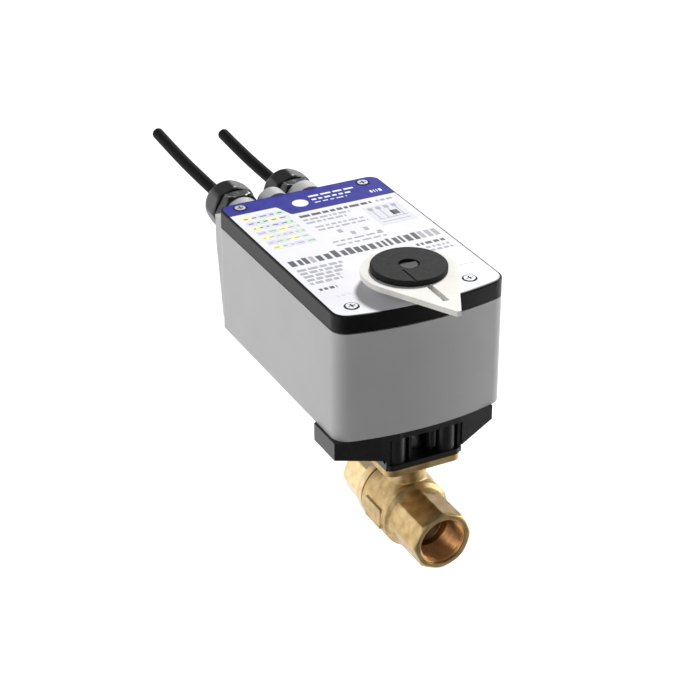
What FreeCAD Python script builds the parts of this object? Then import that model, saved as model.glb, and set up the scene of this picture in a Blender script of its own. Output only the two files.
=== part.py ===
import FreeCAD, Part
import math
import os

# Zone valve: a brass ball valve turned by a spring-return rotary actuator.
# Millimetres. +Z is up, +Y runs along the pipe from the front port to the rear port, +X is right.
# The origin is the centre of the front port's mouth, so the pipe axis is the Y axis.

V = FreeCAD.Vector

# --- valve ---
PORT_TO_STEM = 41.8        # port mouth to stem axis, the same at both ends
END_FLATS = 32.0           # across flats of the octagonal ends
THREAD_R = 13.22           # major radius of a G 3/4 internal thread
THREAD_DEPTH = 18.0
WATERWAY_R = 8.5
BALL_R = 13.0
BALL_GAP = 1.5             # ball to the chamber's wall
CHAMBER_R = BALL_R + BALL_GAP
SPIGOT_WALL = 1.5
BARREL_WALL = 3.5
SPIGOT_R = CHAMBER_R + SPIGOT_WALL
BARREL_R = SPIGOT_R + BARREL_WALL
BARREL_HALF = BALL_R + 1.0   # stem axis to the shoulder's foot
END_CHAMFER = 2.0
SPIGOT_LENGTH = 7.0
SEAL_THICKNESS = 1.6
SEAT_OUTER_R = BALL_R - 1.5
SEAT_BACK = BALL_R + 0.2   # ball centre to the back of a seat
SEAT_DEPTH = 5.7
SEAT_FRONT = SEAT_BACK - SEAT_DEPTH
CHAMBER_HALF = BALL_R - 2.5
PANEL_WIDTH = 17.0
PANEL_HEIGHT = 12.0
PANEL_STAND = 0.8
NECK_R = 11.0
STEM_R = 5.0
STEM_FLANGE_R = 6.0
STEM_FLANGE_Z = BALL_R + 0.4
STEM_FLANGE_THICK = 2.1
WASHER_THICK = 1.0
TANG_THICK = 4.0
TANG_WIDTH = 8.5
TANG_DEPTH = 4.4
STEM_SQUARE = 8.0
STEM_SQUARE_LENGTH = 12.0
O_RING_SECTION_R = 0.65
O_RING_HEIGHTS = (STEM_FLANGE_Z + 7.1, STEM_FLANGE_Z + 12.1)
PAD_WIDTH = 44.6
PAD_DEPTH = 42.4
PAD_THICK = 4.0
PAD_TOP = 37.5
PAD_CORNER_R = 5.0
PAD_HOLE_OFFSET = 14.85    # an F04 square: 42 mm pitch circle
LEDGE_WIDTH = 27.0
LEDGE_THICK = 5.0

# --- actuator casing ---
ADAPTER_HEIGHT = 22.4
HOUSING_HEIGHT = 62.3
LID_HEIGHT = 9.5
GASKET_THICK = 0.8
CASE_WIDTH = 98.0
CASE_REAR = 130.7          # stem axis to the rear face
CASE_FRONT = 22.0          # stem axis to the front face at its middle
FRONT_BOW_R = 180.0
FRONT_CORNER_R = 9.0
REAR_CORNER_R = 6.0
WALL = 2.4
FLOOR = 2.5
LID_TOP_THICK = 2.5
LABEL_THICK = 0.4
LABEL_INSET = 1.2
LABEL_HOLE_R = 4.1         # round each lid screw
LID_SCREW_SPOTS = ((-38.0, 124.0), (38.0, 124.0), (-36.5, -7.5), (31.5, -7.5))
LID_SCREW_R = 1.5
LID_SCREW_HEAD_R = 3.1
LID_SCREW_HEAD = 2.2
LID_POST_R = 4.0
LID_POST_DEPTH = 17.0
ADAPTER_LEFT = 50.5        # stem axis to the end of each wing
ADAPTER_RIGHT = 41.5
ADAPTER_FRONT_LEFT = 15.5  # stem axis to each wing's front corner
ADAPTER_FRONT_RIGHT = 18.5
ADAPTER_BOW = 21.0         # stem axis to the front edge at its middle
ADAPTER_SIDE_REAR = 8.0
ADAPTER_REAR = 26.0
ADAPTER_PLATE = 4.0
WING_HEIGHT = 10.0
WING_END_DROP = (10.0, 8.2)    # left and right front edge below the casing, at the wing's end
WING_NECK_DROP = (15.5, 18.0)  # and where it meets the neck
NECK_HALF_WIDTH = 22.4
ADAPTER_WALL = 2.4
FOOT_THICK = 3.0
FRONT_SKIRT_REAR = 9.0     # stem axis to where the front skirt ends at the sides
GUSSET_SPOTS = (-17.0, -6.0, 6.0, 17.0)
ADAPTER_SCREW_SPOTS = ((-39.0, 0.0), (36.0, 0.0), (-33.0, 11.5), (31.0, 11.5))
ADAPTER_SCREW_R = 2.0
PAD_SCREW_R = 2.5
PAD_SCREW_HEAD_R = 4.2
PAD_SCREW_HEAD = 4.0

# --- drive ---
FIT = 0.05                 # radial running clearance
LOOSE = 0.4                # clearance between parts that only pass each other
PRESSURE_ANGLE = 25.0
BACKLASH = 0.12
OUTPUT_TEETH = 72
OUTPUT_MODULE = 1.0
PINION_TEETH = 12
GEAR_1_TEETH = 48
GEAR_1_MODULE = 0.8
GEAR_2_TEETH = 50
GEAR_2_MODULE = 0.6
GEAR_2_BEARING = 40.0      # direction of gear 2 from gear 1, in degrees
MOTOR_BEARING = 60.0       # direction of the motor from gear 2
SPRING_WALL_GAP = 5.68     # the spring gear's tips to the casing's left wall
STROKE = 90.0
SECTOR_MARGIN = 12.0
SECTOR_THICK = 6.0
SHAFT_R = 9.0
SHAFT_HEX = 13.0
SHAFT_HEX_DEPTH = 14.0
BUSH_R = 11.0
BUSH_FLANGE_R = 13.5
SHAFT_HEAD_R = 14.0
POINTER_GAP = 6.0          # lid top to the pointer's underside
GEAR_BASE_GAP = 3.6        # housing floor to the sector gear
PLATE_Z_GAP = 24.6         # housing floor to the gear plate
PLATE_THICK = 2.5
AXLE_R = 1.5
SPRING_SHAFT_R = 3.0
SPRING_SHAFT_GAP = 3.0     # gear 1's tips to the spring gear's shaft
SPRING_HUB_R = 5.0
SPRING_CAGE_R = 19.5
SPRING_CAGE_HEIGHT = 18.0
SPRING_STRIP = 0.5
SPRING_PITCH = 1.4
SPRING_INNER_R = 6.2
SPRING_TURNS = 7
MOTOR_R = 14.0
MOTOR_HEIGHT = 23.5
MOTOR_SHAFT_R = 1.2
PILLAR_R = 3.0
PILLAR_SPOTS = [(-20.0, -12.3), (20.0, -12.3), (-41.0, 30.0), (41.0, 30.0), (-38.0, 88.0)]
MOTOR_PILLAR_REACH = 17.8
MOTOR_PILLAR_BEARING = 54.5
CAM_R = 12.0
CAM_LOBE_R = 17.6
STOP_R = 2.0
STOP_RING_R = 28.0
BOARD_GAP = 37.6           # housing floor to the circuit board
BOARD_DEPTH = 27.0
BOARD_THICK = 1.6

# --- pointer ---
POINTER_THICK = 3.0
POINTER_R = 25.0
POINTER_REACH = 51.3
POINTER_SLOT = (18.5, 39.0)
POINTER_SLOT_WIDTH = 3.4
CAP_R = 20.0
CAP_HEIGHT = 3.2
CAP_EDGE_R = 1.0
CAP_RECESS_R = 5.5
CAP_RECESS_DEPTH = 1.4

# --- cable entries and cables ---
GLAND_SPOTS = (-30.0, 6.2)
GLAND_DROP = 12.8          # lid top to the gland axes
GLAND_BLOCK_DEPTH = 9.8
HUMP_MARGIN = 16.0         # beyond the gland axes at each side
HUMP_BASE = 3.0            # casing bottom to the hump's bottom
HUMP_DEPTH = 3.0           # at its bottom
HUMP_SHOULDER = 13.0       # gland axes to where the hump reaches its full depth
GLAND_THREAD_R = 8.0
GLAND_HEX = 24.0
GLAND_HEX_LENGTH = 7.5
GLAND_NUT_R = 14.0
GLAND_NUT_LENGTH = 18.5
GLAND_TIP_R = 8.0
ARCH_SPOTS = ((-11.9, 9.0), (8.0, 10.5))
CABLE_R = 3.5
CABLE_POINTS = (
    ((0.0, 0.0, 0.0), (0.0, 26.0, 0.0), (1.3, 68.0, -0.4), (4.2, 107.8, -0.9)),
    ((0.0, 0.0, 0.0), (0.0, 22.0, 0.0), (0.9, 56.0, -0.3), (3.2, 87.7, -0.7)),
)

# --- heights worked out from the sizes above ---
STEM_Y = PORT_TO_STEM
REAR_PORT_Y = 2 * PORT_TO_STEM
HOUSING_Z = PAD_TOP + ADAPTER_HEIGHT
FLOOR_Z = HOUSING_Z + FLOOR
RIM_Z = HOUSING_Z + HOUSING_HEIGHT
LID_Z = RIM_Z + GASKET_THICK
LID_TOP = LID_Z + LID_HEIGHT
GEAR_Z = FLOOR_Z + GEAR_BASE_GAP
WHEEL_1_Z = GEAR_Z + SECTOR_THICK + 2.5
WHEEL_1_THICK = 5.0
WHEEL_2_Z = WHEEL_1_Z + WHEEL_1_THICK + 2.0
WHEEL_2_THICK = 4.0
PLATE_Z = FLOOR_Z + PLATE_Z_GAP
PLATE_TOP = PLATE_Z + PLATE_THICK
POINTER_Z = LID_TOP + POINTER_GAP
CAP_Z = POINTER_Z + POINTER_THICK
GLAND_Z = LID_TOP - GLAND_DROP
GLAND_Y = STEM_Y + CASE_REAR + GLAND_BLOCK_DEPTH
GLAND_TIP_Y = GLAND_Y + GLAND_HEX_LENGTH + GLAND_NUT_LENGTH
SPIGOT_END_Y = STEM_Y + BARREL_HALF + 1.8 - SPIGOT_LENGTH
BODY_REAR_Y = STEM_Y + BARREL_HALF + 1.8

parts = {}


# --- shape helpers ---

def box(x0, x1, y0, y1, z0, z1):
    return Part.makeBox(x1 - x0, y1 - y0, z1 - z0, V(x0, y0, z0))


def rod(radius, z0, z1, x=0.0, y=0.0):
    return Part.makeCylinder(radius, z1 - z0, V(x, y, z0))


def rod_y(radius, y0, y1, x=0.0, z=0.0):
    return Part.makeCylinder(radius, y1 - y0, V(x, y0, z), V(0, 1, 0))


def tube(outer, inner, z0, z1, x=0.0, y=0.0):
    return rod(outer, z0, z1, x, y).cut(rod(inner, z0 - 1, z1 + 1, x, y))


def tube_y(outer, inner, y0, y1, x=0.0, z=0.0):
    return rod_y(outer, y0, y1, x, z).cut(rod_y(inner, y0 - 1, y1 + 1, x, z))


def joined(shapes):
    whole = shapes[0]
    for shape in shapes[1:]:
        whole = whole.fuse(shape)
    return whole.removeSplitter()


def less(shape, cutters):
    for cutter in cutters:
        shape = shape.cut(cutter)
    return shape


def prism(points, z0, z1):
    corners = [V(x, y, z0) for x, y in points]
    face = Part.Face(Part.makePolygon(corners + [corners[0]]))
    return face.extrude(V(0, 0, z1 - z0))


def polygon_points(sides, flats, turn):
    corner_r = flats / 2 / math.cos(math.pi / sides)
    angles = [math.radians(turn + 360.0 * k / sides) for k in range(sides)]
    return [(corner_r * math.cos(a), corner_r * math.sin(a)) for a in angles]


def bar_y(sides, flats, turn, y0, y1, x=0.0, z=0.0):
    corners = [V(x + u, y0, z + w) for u, w in polygon_points(sides, flats, turn)]
    face = Part.Face(Part.makePolygon(corners + [corners[0]]))
    return face.extrude(V(0, y1 - y0, 0))


def rounded_box(width, depth, z0, z1, radius, y=0.0):
    solid = box(-width / 2, width / 2, y - depth / 2, y + depth / 2, z0, z1)
    return solid.makeFillet(radius, upright_edges(solid))


def upright_edges(solid):
    edges = []
    for edge in solid.Edges:
        low, high = edge.BoundBox.ZMin, edge.BoundBox.ZMax
        if high - low > 0.9 * solid.BoundBox.ZLength and edge.BoundBox.XLength < 0.01:
            edges.append(edge)
    return edges


def at_stem(x, y):
    return x, STEM_Y + y


# --- gears ---

def involute_angle(radius, base_r):
    if radius <= base_r:
        return 0.0
    ratio = math.acos(base_r / radius)
    return math.tan(ratio) - ratio


def gear_outline(teeth, module, phase, first=0, count=None):
    """Corner points of a spur gear, its tooth number k centred at phase + k pitches."""
    count = teeth if count is None else count
    pitch_r = teeth * module / 2
    alpha = math.radians(PRESSURE_ANGLE)
    base_r = pitch_r * math.cos(alpha)
    tip_r = pitch_r + module
    root_r = pitch_r - 1.25 * module
    half = math.pi / (2 * teeth) - BACKLASH / (2 * pitch_r) + math.tan(alpha) - alpha
    start_r = max(base_r, root_r)
    radii = [start_r + (tip_r - start_r) * k / 5 for k in range(6)]
    if root_r < base_r:
        radii.insert(0, root_r)
    points = []
    for k in range(first, first + count):
        centre = math.radians(phase) + 2 * math.pi * k / teeth
        rising = [(r, centre - half + involute_angle(r, base_r)) for r in radii]
        falling = [(r, centre + half - involute_angle(r, base_r)) for r in reversed(radii)]
        points += [(r * math.cos(a), r * math.sin(a)) for r, a in rising + falling]
    return points


def gear(teeth, module, phase, z0, z1, x, y):
    solid = prism(gear_outline(teeth, module, phase), z0, z1)
    solid.translate(V(x, y, 0))
    return solid


def meshed_phase(phase, teeth, direction, other_teeth):
    """Tooth phase of a gear that meshes with another, which lies opposite to direction."""
    return direction + 180 - (phase - direction) * teeth / other_teeth + 180.0 / other_teeth


def reach(x, y, distance, bearing):
    angle = math.radians(bearing)
    return x + distance * math.cos(angle), y + distance * math.sin(angle)


GEAR_1_TIP_R = (GEAR_1_TEETH / 2 + 1) * GEAR_1_MODULE
SPRING_CENTRES = GEAR_1_TIP_R + SPRING_SHAFT_R + SPRING_SHAFT_GAP
SPRING_TEETH = math.ceil(2 * SPRING_CENTRES / OUTPUT_MODULE - PINION_TEETH - 0.001)
GEAR_1_XY = reach(0.0, STEM_Y, (OUTPUT_TEETH + PINION_TEETH) * OUTPUT_MODULE / 2, 90.0)
GEAR_2_XY = reach(*GEAR_1_XY, (GEAR_1_TEETH + PINION_TEETH) * GEAR_1_MODULE / 2, GEAR_2_BEARING)
MOTOR_XY = reach(*GEAR_2_XY, (GEAR_2_TEETH + PINION_TEETH) * GEAR_2_MODULE / 2, MOTOR_BEARING)
MOTOR_PILLAR_XY = reach(*MOTOR_XY, MOTOR_PILLAR_REACH, MOTOR_PILLAR_BEARING)
PILLAR_SPOTS.append((MOTOR_PILLAR_XY[0], MOTOR_PILLAR_XY[1] - STEM_Y))
SPRING_TIP_R = (SPRING_TEETH / 2 + 1) * OUTPUT_MODULE
SPRING_OFFSET = CASE_WIDTH / 2 - WALL - SPRING_WALL_GAP - SPRING_TIP_R
SPRING_REACH = (SPRING_TEETH + PINION_TEETH) * OUTPUT_MODULE / 2
SPRING_BEARING = math.degrees(math.acos(-SPRING_OFFSET / SPRING_REACH))
SPRING_XY = reach(*GEAR_1_XY, SPRING_REACH, SPRING_BEARING)
SECTOR_PHASE = 90.0
PINION_1_PHASE = meshed_phase(SECTOR_PHASE, OUTPUT_TEETH, 90.0, PINION_TEETH)
WHEEL_1_PHASE = GEAR_2_BEARING
PINION_2_PHASE = meshed_phase(WHEEL_1_PHASE, GEAR_1_TEETH, GEAR_2_BEARING, PINION_TEETH)
WHEEL_2_PHASE = MOTOR_BEARING
MOTOR_PHASE = meshed_phase(WHEEL_2_PHASE, GEAR_2_TEETH, MOTOR_BEARING, PINION_TEETH)
SPRING_PHASE = meshed_phase(PINION_1_PHASE, PINION_TEETH, SPRING_BEARING, SPRING_TEETH)


# --- valve ---

def octagon_end(y0, y1, mouth_y):
    """An octagonal pipe end with a conical chamfer at its mouth."""
    solid = bar_y(8, END_FLATS, 0.0, y0, y1)
    outward = 1 if mouth_y > STEM_Y else -1
    chamfer_r = END_FLATS / 2 - 0.3
    length = abs(y1 - y0)
    inner_y = mouth_y - outward * length
    cone = Part.makeCone(chamfer_r + length * 1.2, chamfer_r, length, V(0, inner_y, 0), V(0, outward, 0))
    return solid.common(cone)


def make_valve_body():
    barrel = rod_y(BARREL_R, STEM_Y - BARREL_HALF, BODY_REAR_Y)
    barrel = barrel.makeChamfer(END_CHAMFER, [e for e in barrel.Edges if e.BoundBox.YLength < 0.01])
    front = octagon_end(0, STEM_Y, 0.0)
    shoulder_y = STEM_Y - BARREL_HALF
    shoulder = Part.makeCone(END_FLATS / 2, BARREL_R - END_CHAMFER, 4.0, V(0, shoulder_y - 4, 0), V(0, 1, 0))
    panels = box(-BARREL_R - PANEL_STAND, BARREL_R + PANEL_STAND, STEM_Y - PANEL_WIDTH / 2,
                 STEM_Y + PANEL_WIDTH / 2, -PANEL_HEIGHT / 2, PANEL_HEIGHT / 2)
    neck = rod(NECK_R, 0, PAD_TOP - PAD_THICK, 0, STEM_Y)
    ledge_z = PAD_TOP - PAD_THICK - LEDGE_THICK
    ledge = rounded_box(LEDGE_WIDTH, LEDGE_WIDTH, ledge_z, PAD_TOP - PAD_THICK + 0.5, 7.0, STEM_Y)
    skirt = Part.makeCone(BARREL_R - 4, NECK_R, 6.0, V(0, STEM_Y, BALL_R), V(0, 0, 1))
    pad = rounded_box(PAD_WIDTH, PAD_DEPTH, PAD_TOP - PAD_THICK, PAD_TOP, PAD_CORNER_R, STEM_Y)
    pieces = [barrel, front, shoulder, panels, neck, ledge, skirt, pad]
    holes = []
    for sx in (-1, 1):
        for sy in (-1, 1):
            x, y = at_stem(sx * PAD_HOLE_OFFSET, sy * PAD_HOLE_OFFSET)
            holes.append(rod(PAD_SCREW_R + 0.03, PAD_TOP - PAD_THICK - 1, PAD_TOP + 1, x, y))
    washer_top = STEM_FLANGE_Z + STEM_FLANGE_THICK + WASHER_THICK
    seat_y = STEM_Y - SEAT_BACK
    holes += [
        rod_y(THREAD_R, -1, THREAD_DEPTH),
        rod_y(WATERWAY_R, 0, STEM_Y),
        rod_y(SEAT_OUTER_R + FIT, seat_y, STEM_Y),
        rod_y(CHAMBER_R, STEM_Y - CHAMBER_HALF, BODY_REAR_Y + 1),
        rod_y(SPIGOT_R, SPIGOT_END_Y - SEAL_THICKNESS, BODY_REAR_Y + 1),
        rod(STEM_FLANGE_R + FIT, 0, washer_top, 0, STEM_Y),
        rod(STEM_R + FIT, 0, PAD_TOP + 1, 0, STEM_Y),
    ]
    return less(joined(pieces), holes)


def make_end_cap():
    collar = rod_y(BARREL_R - 0.6, BODY_REAR_Y, BODY_REAR_Y + 5.0)
    end = octagon_end(BODY_REAR_Y, REAR_PORT_Y, REAR_PORT_Y)
    spigot = rod_y(SPIGOT_R - FIT, SPIGOT_END_Y, BODY_REAR_Y + 1)
    holes = [
        rod_y(THREAD_R, REAR_PORT_Y - THREAD_DEPTH, REAR_PORT_Y + 1),
        rod_y(WATERWAY_R, SPIGOT_END_Y - 1, REAR_PORT_Y),
        rod_y(SEAT_OUTER_R + FIT, SPIGOT_END_Y - 1, STEM_Y + SEAT_BACK),
    ]
    return less(joined([collar, end, spigot]), holes)


def make_body_seal():
    return tube_y(SPIGOT_R - 0.1, CHAMBER_R + 0.1, SPIGOT_END_Y - SEAL_THICKNESS, SPIGOT_END_Y)


def make_seat(side):
    y0, y1 = sorted((STEM_Y + side * SEAT_FRONT, STEM_Y + side * SEAT_BACK))
    ring = tube_y(SEAT_OUTER_R, WATERWAY_R, y0, y1)
    return ring.cut(Part.makeSphere(BALL_R + FIT, V(0, STEM_Y, 0)))


def make_ball():
    ball = Part.makeSphere(BALL_R, V(0, STEM_Y, 0))
    slot = box(-BALL_R, BALL_R, STEM_Y - TANG_THICK / 2 - 0.1, STEM_Y + TANG_THICK / 2 + 0.1,
               STEM_FLANGE_Z - TANG_DEPTH - 0.2, BALL_R + 1)
    return less(ball, [rod_y(WATERWAY_R, STEM_Y - 20, STEM_Y + 20), slot])


def make_valve_stem():
    flange_top = STEM_FLANGE_Z + STEM_FLANGE_THICK
    top = PAD_TOP + STEM_SQUARE_LENGTH
    tang = box(-TANG_WIDTH / 2, TANG_WIDTH / 2, STEM_Y - TANG_THICK / 2, STEM_Y + TANG_THICK / 2,
               STEM_FLANGE_Z - TANG_DEPTH, STEM_FLANGE_Z + 0.5)
    flange = rod(STEM_FLANGE_R, STEM_FLANGE_Z, flange_top, 0, STEM_Y)
    shaft = rod(STEM_R, STEM_FLANGE_Z, PAD_TOP, 0, STEM_Y)
    half = STEM_SQUARE / 2
    square = box(-half, half, STEM_Y - half, STEM_Y + half, PAD_TOP - 1, top)
    square = square.common(rod(STEM_R, PAD_TOP - 1, top, 0, STEM_Y))
    grooves = [tube(STEM_R + 1, STEM_R - 2 * O_RING_SECTION_R, z - 0.8, z + 0.8, 0, STEM_Y)
               for z in O_RING_HEIGHTS]
    return less(joined([tang, flange, shaft, square]), grooves)


def make_stem_o_rings():
    ring_r = STEM_R - O_RING_SECTION_R
    rings = [Part.makeTorus(ring_r, O_RING_SECTION_R, V(0, STEM_Y, z)) for z in O_RING_HEIGHTS]
    return Part.makeCompound(rings)


def make_stem_washer():
    z0 = STEM_FLANGE_Z + STEM_FLANGE_THICK + FIT / 2
    return tube(STEM_FLANGE_R, STEM_R + FIT, z0, z0 + WASHER_THICK - FIT / 2, 0, STEM_Y)


# --- adapter between valve and actuator ---

def wing_points(inset):
    """The adapter's plan outline, moved in by inset, from the left front corner round by the rear."""
    left, right = -ADAPTER_LEFT + inset, ADAPTER_RIGHT - inset
    rear = ADAPTER_REAR - inset
    side = ADAPTER_SIDE_REAR - inset * 0.6
    bow = -ADAPTER_BOW + inset
    outline = [(left, -ADAPTER_FRONT_LEFT + inset), (left, side), (-26, rear), (26, rear), (right, side)]
    outline += [(right, -ADAPTER_FRONT_RIGHT + inset), (right * 0.5, bow + 0.6), (0, bow)]
    outline.append((left * 0.5, bow + 1.2))
    return [at_stem(x, y) for x, y in outline]


def wing_front(ring):
    """The front skirt, which deepens from the wing ends towards the neck."""
    neck = NECK_HALF_WIDTH
    corners = [(-ADAPTER_LEFT, WING_END_DROP[0]), (-neck, WING_NECK_DROP[0]), (-neck, 0), (-ADAPTER_LEFT, 0)]
    mirrored = [(ADAPTER_RIGHT, WING_END_DROP[1]), (neck, WING_NECK_DROP[1]), (neck, 0), (ADAPTER_RIGHT, 0)]
    webs = []
    for outline in (corners, mirrored):
        points = [V(x, STEM_Y - 40, HOUSING_Z - drop) for x, drop in outline]
        face = Part.Face(Part.makePolygon(points + [points[0]]))
        webs.append(ring.common(face.extrude(V(0, 40 - FRONT_SKIRT_REAR, 0))))
    return webs


def make_adapter_base():
    top = HOUSING_Z
    plate_z = top - ADAPTER_PLATE
    wing_z = top - WING_HEIGHT
    ring = prism(wing_points(0.0), PAD_TOP, top).cut(prism(wing_points(2.0), PAD_TOP - 1, plate_z))
    rear = box(-60, 60, STEM_Y - FRONT_SKIRT_REAR, STEM_Y + 40, wing_z, top)
    plate = prism(wing_points(0.0), plate_z, top)
    pieces = [plate, ring.common(rear)] + wing_front(ring)
    foot = rounded_box(2 * NECK_HALF_WIDTH, PAD_DEPTH - 0.4, PAD_TOP, PAD_TOP + FOOT_THICK, 4.0, STEM_Y)
    pieces.append(foot)
    for sx in (-1, 1):
        x0, x1 = sorted((sx * NECK_HALF_WIDTH, sx * (NECK_HALF_WIDTH - ADAPTER_WALL)))
        pieces.append(box(x0, x1, STEM_Y - 19.5, STEM_Y + 20, PAD_TOP, top))
        for y in GUSSET_SPOTS:
            pieces.append(gusset(sx, STEM_Y + y, plate_z))
        for sy in (-1, 1):
            x, y = at_stem(sx * PAD_HOLE_OFFSET, sy * PAD_HOLE_OFFSET)
            pieces.append(rod(PAD_SCREW_HEAD_R + 1.4, PAD_TOP, top, x, y))
    pieces.append(box(-NECK_HALF_WIDTH, NECK_HALF_WIDTH, STEM_Y + 17.5, STEM_Y + 20, PAD_TOP, top))
    pieces.append(box(-8.6, -7.0, STEM_Y - 18.5, STEM_Y - 10.5, PAD_TOP, top))
    pieces.append(rod(2.6, PAD_TOP + 6.5, top, 6.5, STEM_Y - 15.5))
    pieces.append(box(5.5, 7.5, STEM_Y - 15.5, STEM_Y - 11.5, PAD_TOP, top))
    holes = [
        rod(BUSH_R - 0.6, PAD_TOP - 1, plate_z - 3, 0, STEM_Y),
        rod(BUSH_R + 3.0, plate_z - 3, top + 1, 0, STEM_Y),
    ]
    for sx in (-1, 1):
        for sy in (-1, 1):
            x, y = at_stem(sx * PAD_HOLE_OFFSET, sy * PAD_HOLE_OFFSET)
            holes.append(rod(PAD_SCREW_R + 0.25, PAD_TOP - 1, top, x, y))
            holes.append(rod(PAD_SCREW_HEAD_R + 0.2, top - PAD_SCREW_HEAD - 0.5, top + 1, x, y))
    for x, y in ADAPTER_SCREW_SPOTS:
        holes.append(rod(ADAPTER_SCREW_R + 0.2, wing_z - 1, top + 1, *at_stem(x, y)))
    return less(joined(pieces), holes)


def gusset(side, y, plate_z):
    """A triangular rib from the neck out under the wing."""
    outer = (ADAPTER_LEFT if side < 0 else ADAPTER_RIGHT) - 6.0
    corners = [
        V(side * (NECK_HALF_WIDTH - 0.5), y - 1, PAD_TOP + 2.5),
        V(side * (NECK_HALF_WIDTH + 1.5), y - 1, PAD_TOP + 6.0),
        V(side * outer, y - 1, HOUSING_Z - WING_HEIGHT + 0.5),
        V(side * outer, y - 1, plate_z + 0.5),
        V(side * (NECK_HALF_WIDTH - 0.5), y - 1, plate_z + 0.5),
    ]
    face = Part.Face(Part.makePolygon(corners + [corners[0]]))
    rib = face.extrude(V(0, 2, 0))
    return rib.common(prism(wing_points(0.5), PAD_TOP, HOUSING_Z))


def make_pad_screws():
    screws = []
    head_z = HOUSING_Z - PAD_SCREW_HEAD - 0.5
    for sx in (-1, 1):
        for sy in (-1, 1):
            x, y = at_stem(sx * PAD_HOLE_OFFSET, sy * PAD_HOLE_OFFSET)
            head = rod(PAD_SCREW_HEAD_R, head_z, head_z + PAD_SCREW_HEAD, x, y)
            shank = rod(PAD_SCREW_R, PAD_TOP - PAD_THICK + 0.3, head_z + 1, x, y)
            socket = prism([(x + u, y + v) for u, v in polygon_points(6, 4.0, 0)],
                           head_z + PAD_SCREW_HEAD - 2.2, head_z + PAD_SCREW_HEAD + 1)
            screws.append(joined([head, shank]).cut(socket))
    return Part.makeCompound(screws)


def make_adapter_screws():
    screws = []
    plate_z = HOUSING_Z - ADAPTER_PLATE
    for x, y in ADAPTER_SCREW_SPOTS:
        x, y = at_stem(x, y)
        head = rod(3.4, plate_z - 2.6, plate_z, x, y)
        shank = rod(ADAPTER_SCREW_R, plate_z - 1, FLOOR_Z + 1.8, x, y)
        slot = box(x - 4, x + 4, y - 0.5, y + 0.5, plate_z - 3, plate_z - 1.6)
        screws.append(joined([head, shank]).cut(slot))
    return Part.makeCompound(screws)


# --- casing ---

def case_block(inset, z0, z1):
    """The casing's plan shape, moved in by inset, between two heights."""
    half = CASE_WIDTH / 2 - inset
    front = FRONT_BOW_R - inset
    block = box(-half, half, STEM_Y - 40, STEM_Y + CASE_REAR - inset, z0, z1)
    block = block.common(rod(front, z0, z1, 0, STEM_Y - CASE_FRONT + FRONT_BOW_R))
    front_edges = [e for e in upright_edges(block) if e.BoundBox.YMin < STEM_Y]
    block = block.makeFillet(max(FRONT_CORNER_R - inset, 0.8), front_edges)
    rear_edges = [e for e in upright_edges(block) if e.BoundBox.YMin > STEM_Y + CASE_REAR - inset - 0.1
                  and abs(abs(e.BoundBox.XMin) - half) < 0.1]
    return block.makeFillet(max(REAR_CORNER_R - inset, 0.8), rear_edges)


def post_web(x, y, z0, z1):
    """A web that ties a corner post to the nearest side wall."""
    side = 1 if x > 0 else -1
    x0, x1 = sorted((x, side * (CASE_WIDTH / 2 - WALL / 2)))
    return box(x0, x1, y - 0.9, y + 0.9, z0, z1)


def make_housing():
    shell = case_block(0.0, HOUSING_Z, RIM_Z).cut(case_block(WALL, FLOOR_Z, RIM_Z + 1))
    post_z = RIM_Z - LID_POST_DEPTH
    pieces = [shell]
    holes = []
    for x, y in LID_SCREW_SPOTS:
        x, y = at_stem(x, y)
        pieces.append(rod(LID_POST_R, post_z, RIM_Z, x, y))
        pieces.append(post_web(x, y, post_z, RIM_Z - 2))
        holes.append(rod(LID_SCREW_R + 0.03, post_z + 3, RIM_Z + 1, x, y))
    for x, y in ADAPTER_SCREW_SPOTS:
        x, y = at_stem(x, y)
        pieces.append(rod(4.2, FLOOR_Z - 1, FLOOR_Z + 2.4, x, y))
        holes.append(rod(ADAPTER_SCREW_R + 0.03, HOUSING_Z - 1, FLOOR_Z + 1.9, x, y))
    for x, y in (GEAR_1_XY, GEAR_2_XY):
        pieces.append(rod(4.0, FLOOR_Z - 1, FLOOR_Z + 2.2, x, y))
        holes.append(rod(AXLE_R, FLOOR_Z - 1.5, FLOOR_Z + 3, x, y))
    pieces.append(rod(6.0, FLOOR_Z - 1, FLOOR_Z + 2.8, *SPRING_XY))
    holes.append(rod(SPRING_SHAFT_R + FIT, FLOOR_Z - 1, FLOOR_Z + 4, *SPRING_XY))
    holes.append(rod(BUSH_R, HOUSING_Z - 1, FLOOR_Z + 1, 0, STEM_Y))
    block, room = gland_block()
    pieces += block
    holes.append(room)
    for x in GLAND_SPOTS:
        holes.append(rod_y(GLAND_THREAD_R + 0.03, STEM_Y + CASE_REAR + 0.6, GLAND_Y + 1, x, GLAND_Z))
        holes.append(rod_y(CABLE_R + 0.3, STEM_Y + CASE_REAR - 5, GLAND_Y + 1, x, GLAND_Z))
    lid_room = box(-CASE_WIDTH, CASE_WIDTH, STEM_Y, STEM_Y + CASE_REAR + 0.3, RIM_Z, LID_TOP + 5)
    return less(joined(pieces), holes + [lid_room])


def gland_block():
    """The rear hump that carries the cable glands, deepest at the top, with two arched ribs on it."""
    y0 = STEM_Y + CASE_REAR - 0.5
    left, right = GLAND_SPOTS[0] - HUMP_MARGIN, GLAND_SPOTS[1] + HUMP_MARGIN
    hump = hump_prism(left, right, y0, 0.0)
    room = hump_prism(left + WALL, right - WALL, y0 - WALL - 0.5, WALL)
    hubs = [rod_y(GLAND_THREAD_R + 3.2, y0, GLAND_Y, x, GLAND_Z) for x in GLAND_SPOTS]
    arches = [rod_y(r, y0 + 0.8, GLAND_Y, x, LID_TOP + 0.8 - r) for x, r in ARCH_SPOTS]
    return [hump] + hubs + arches, room


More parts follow.
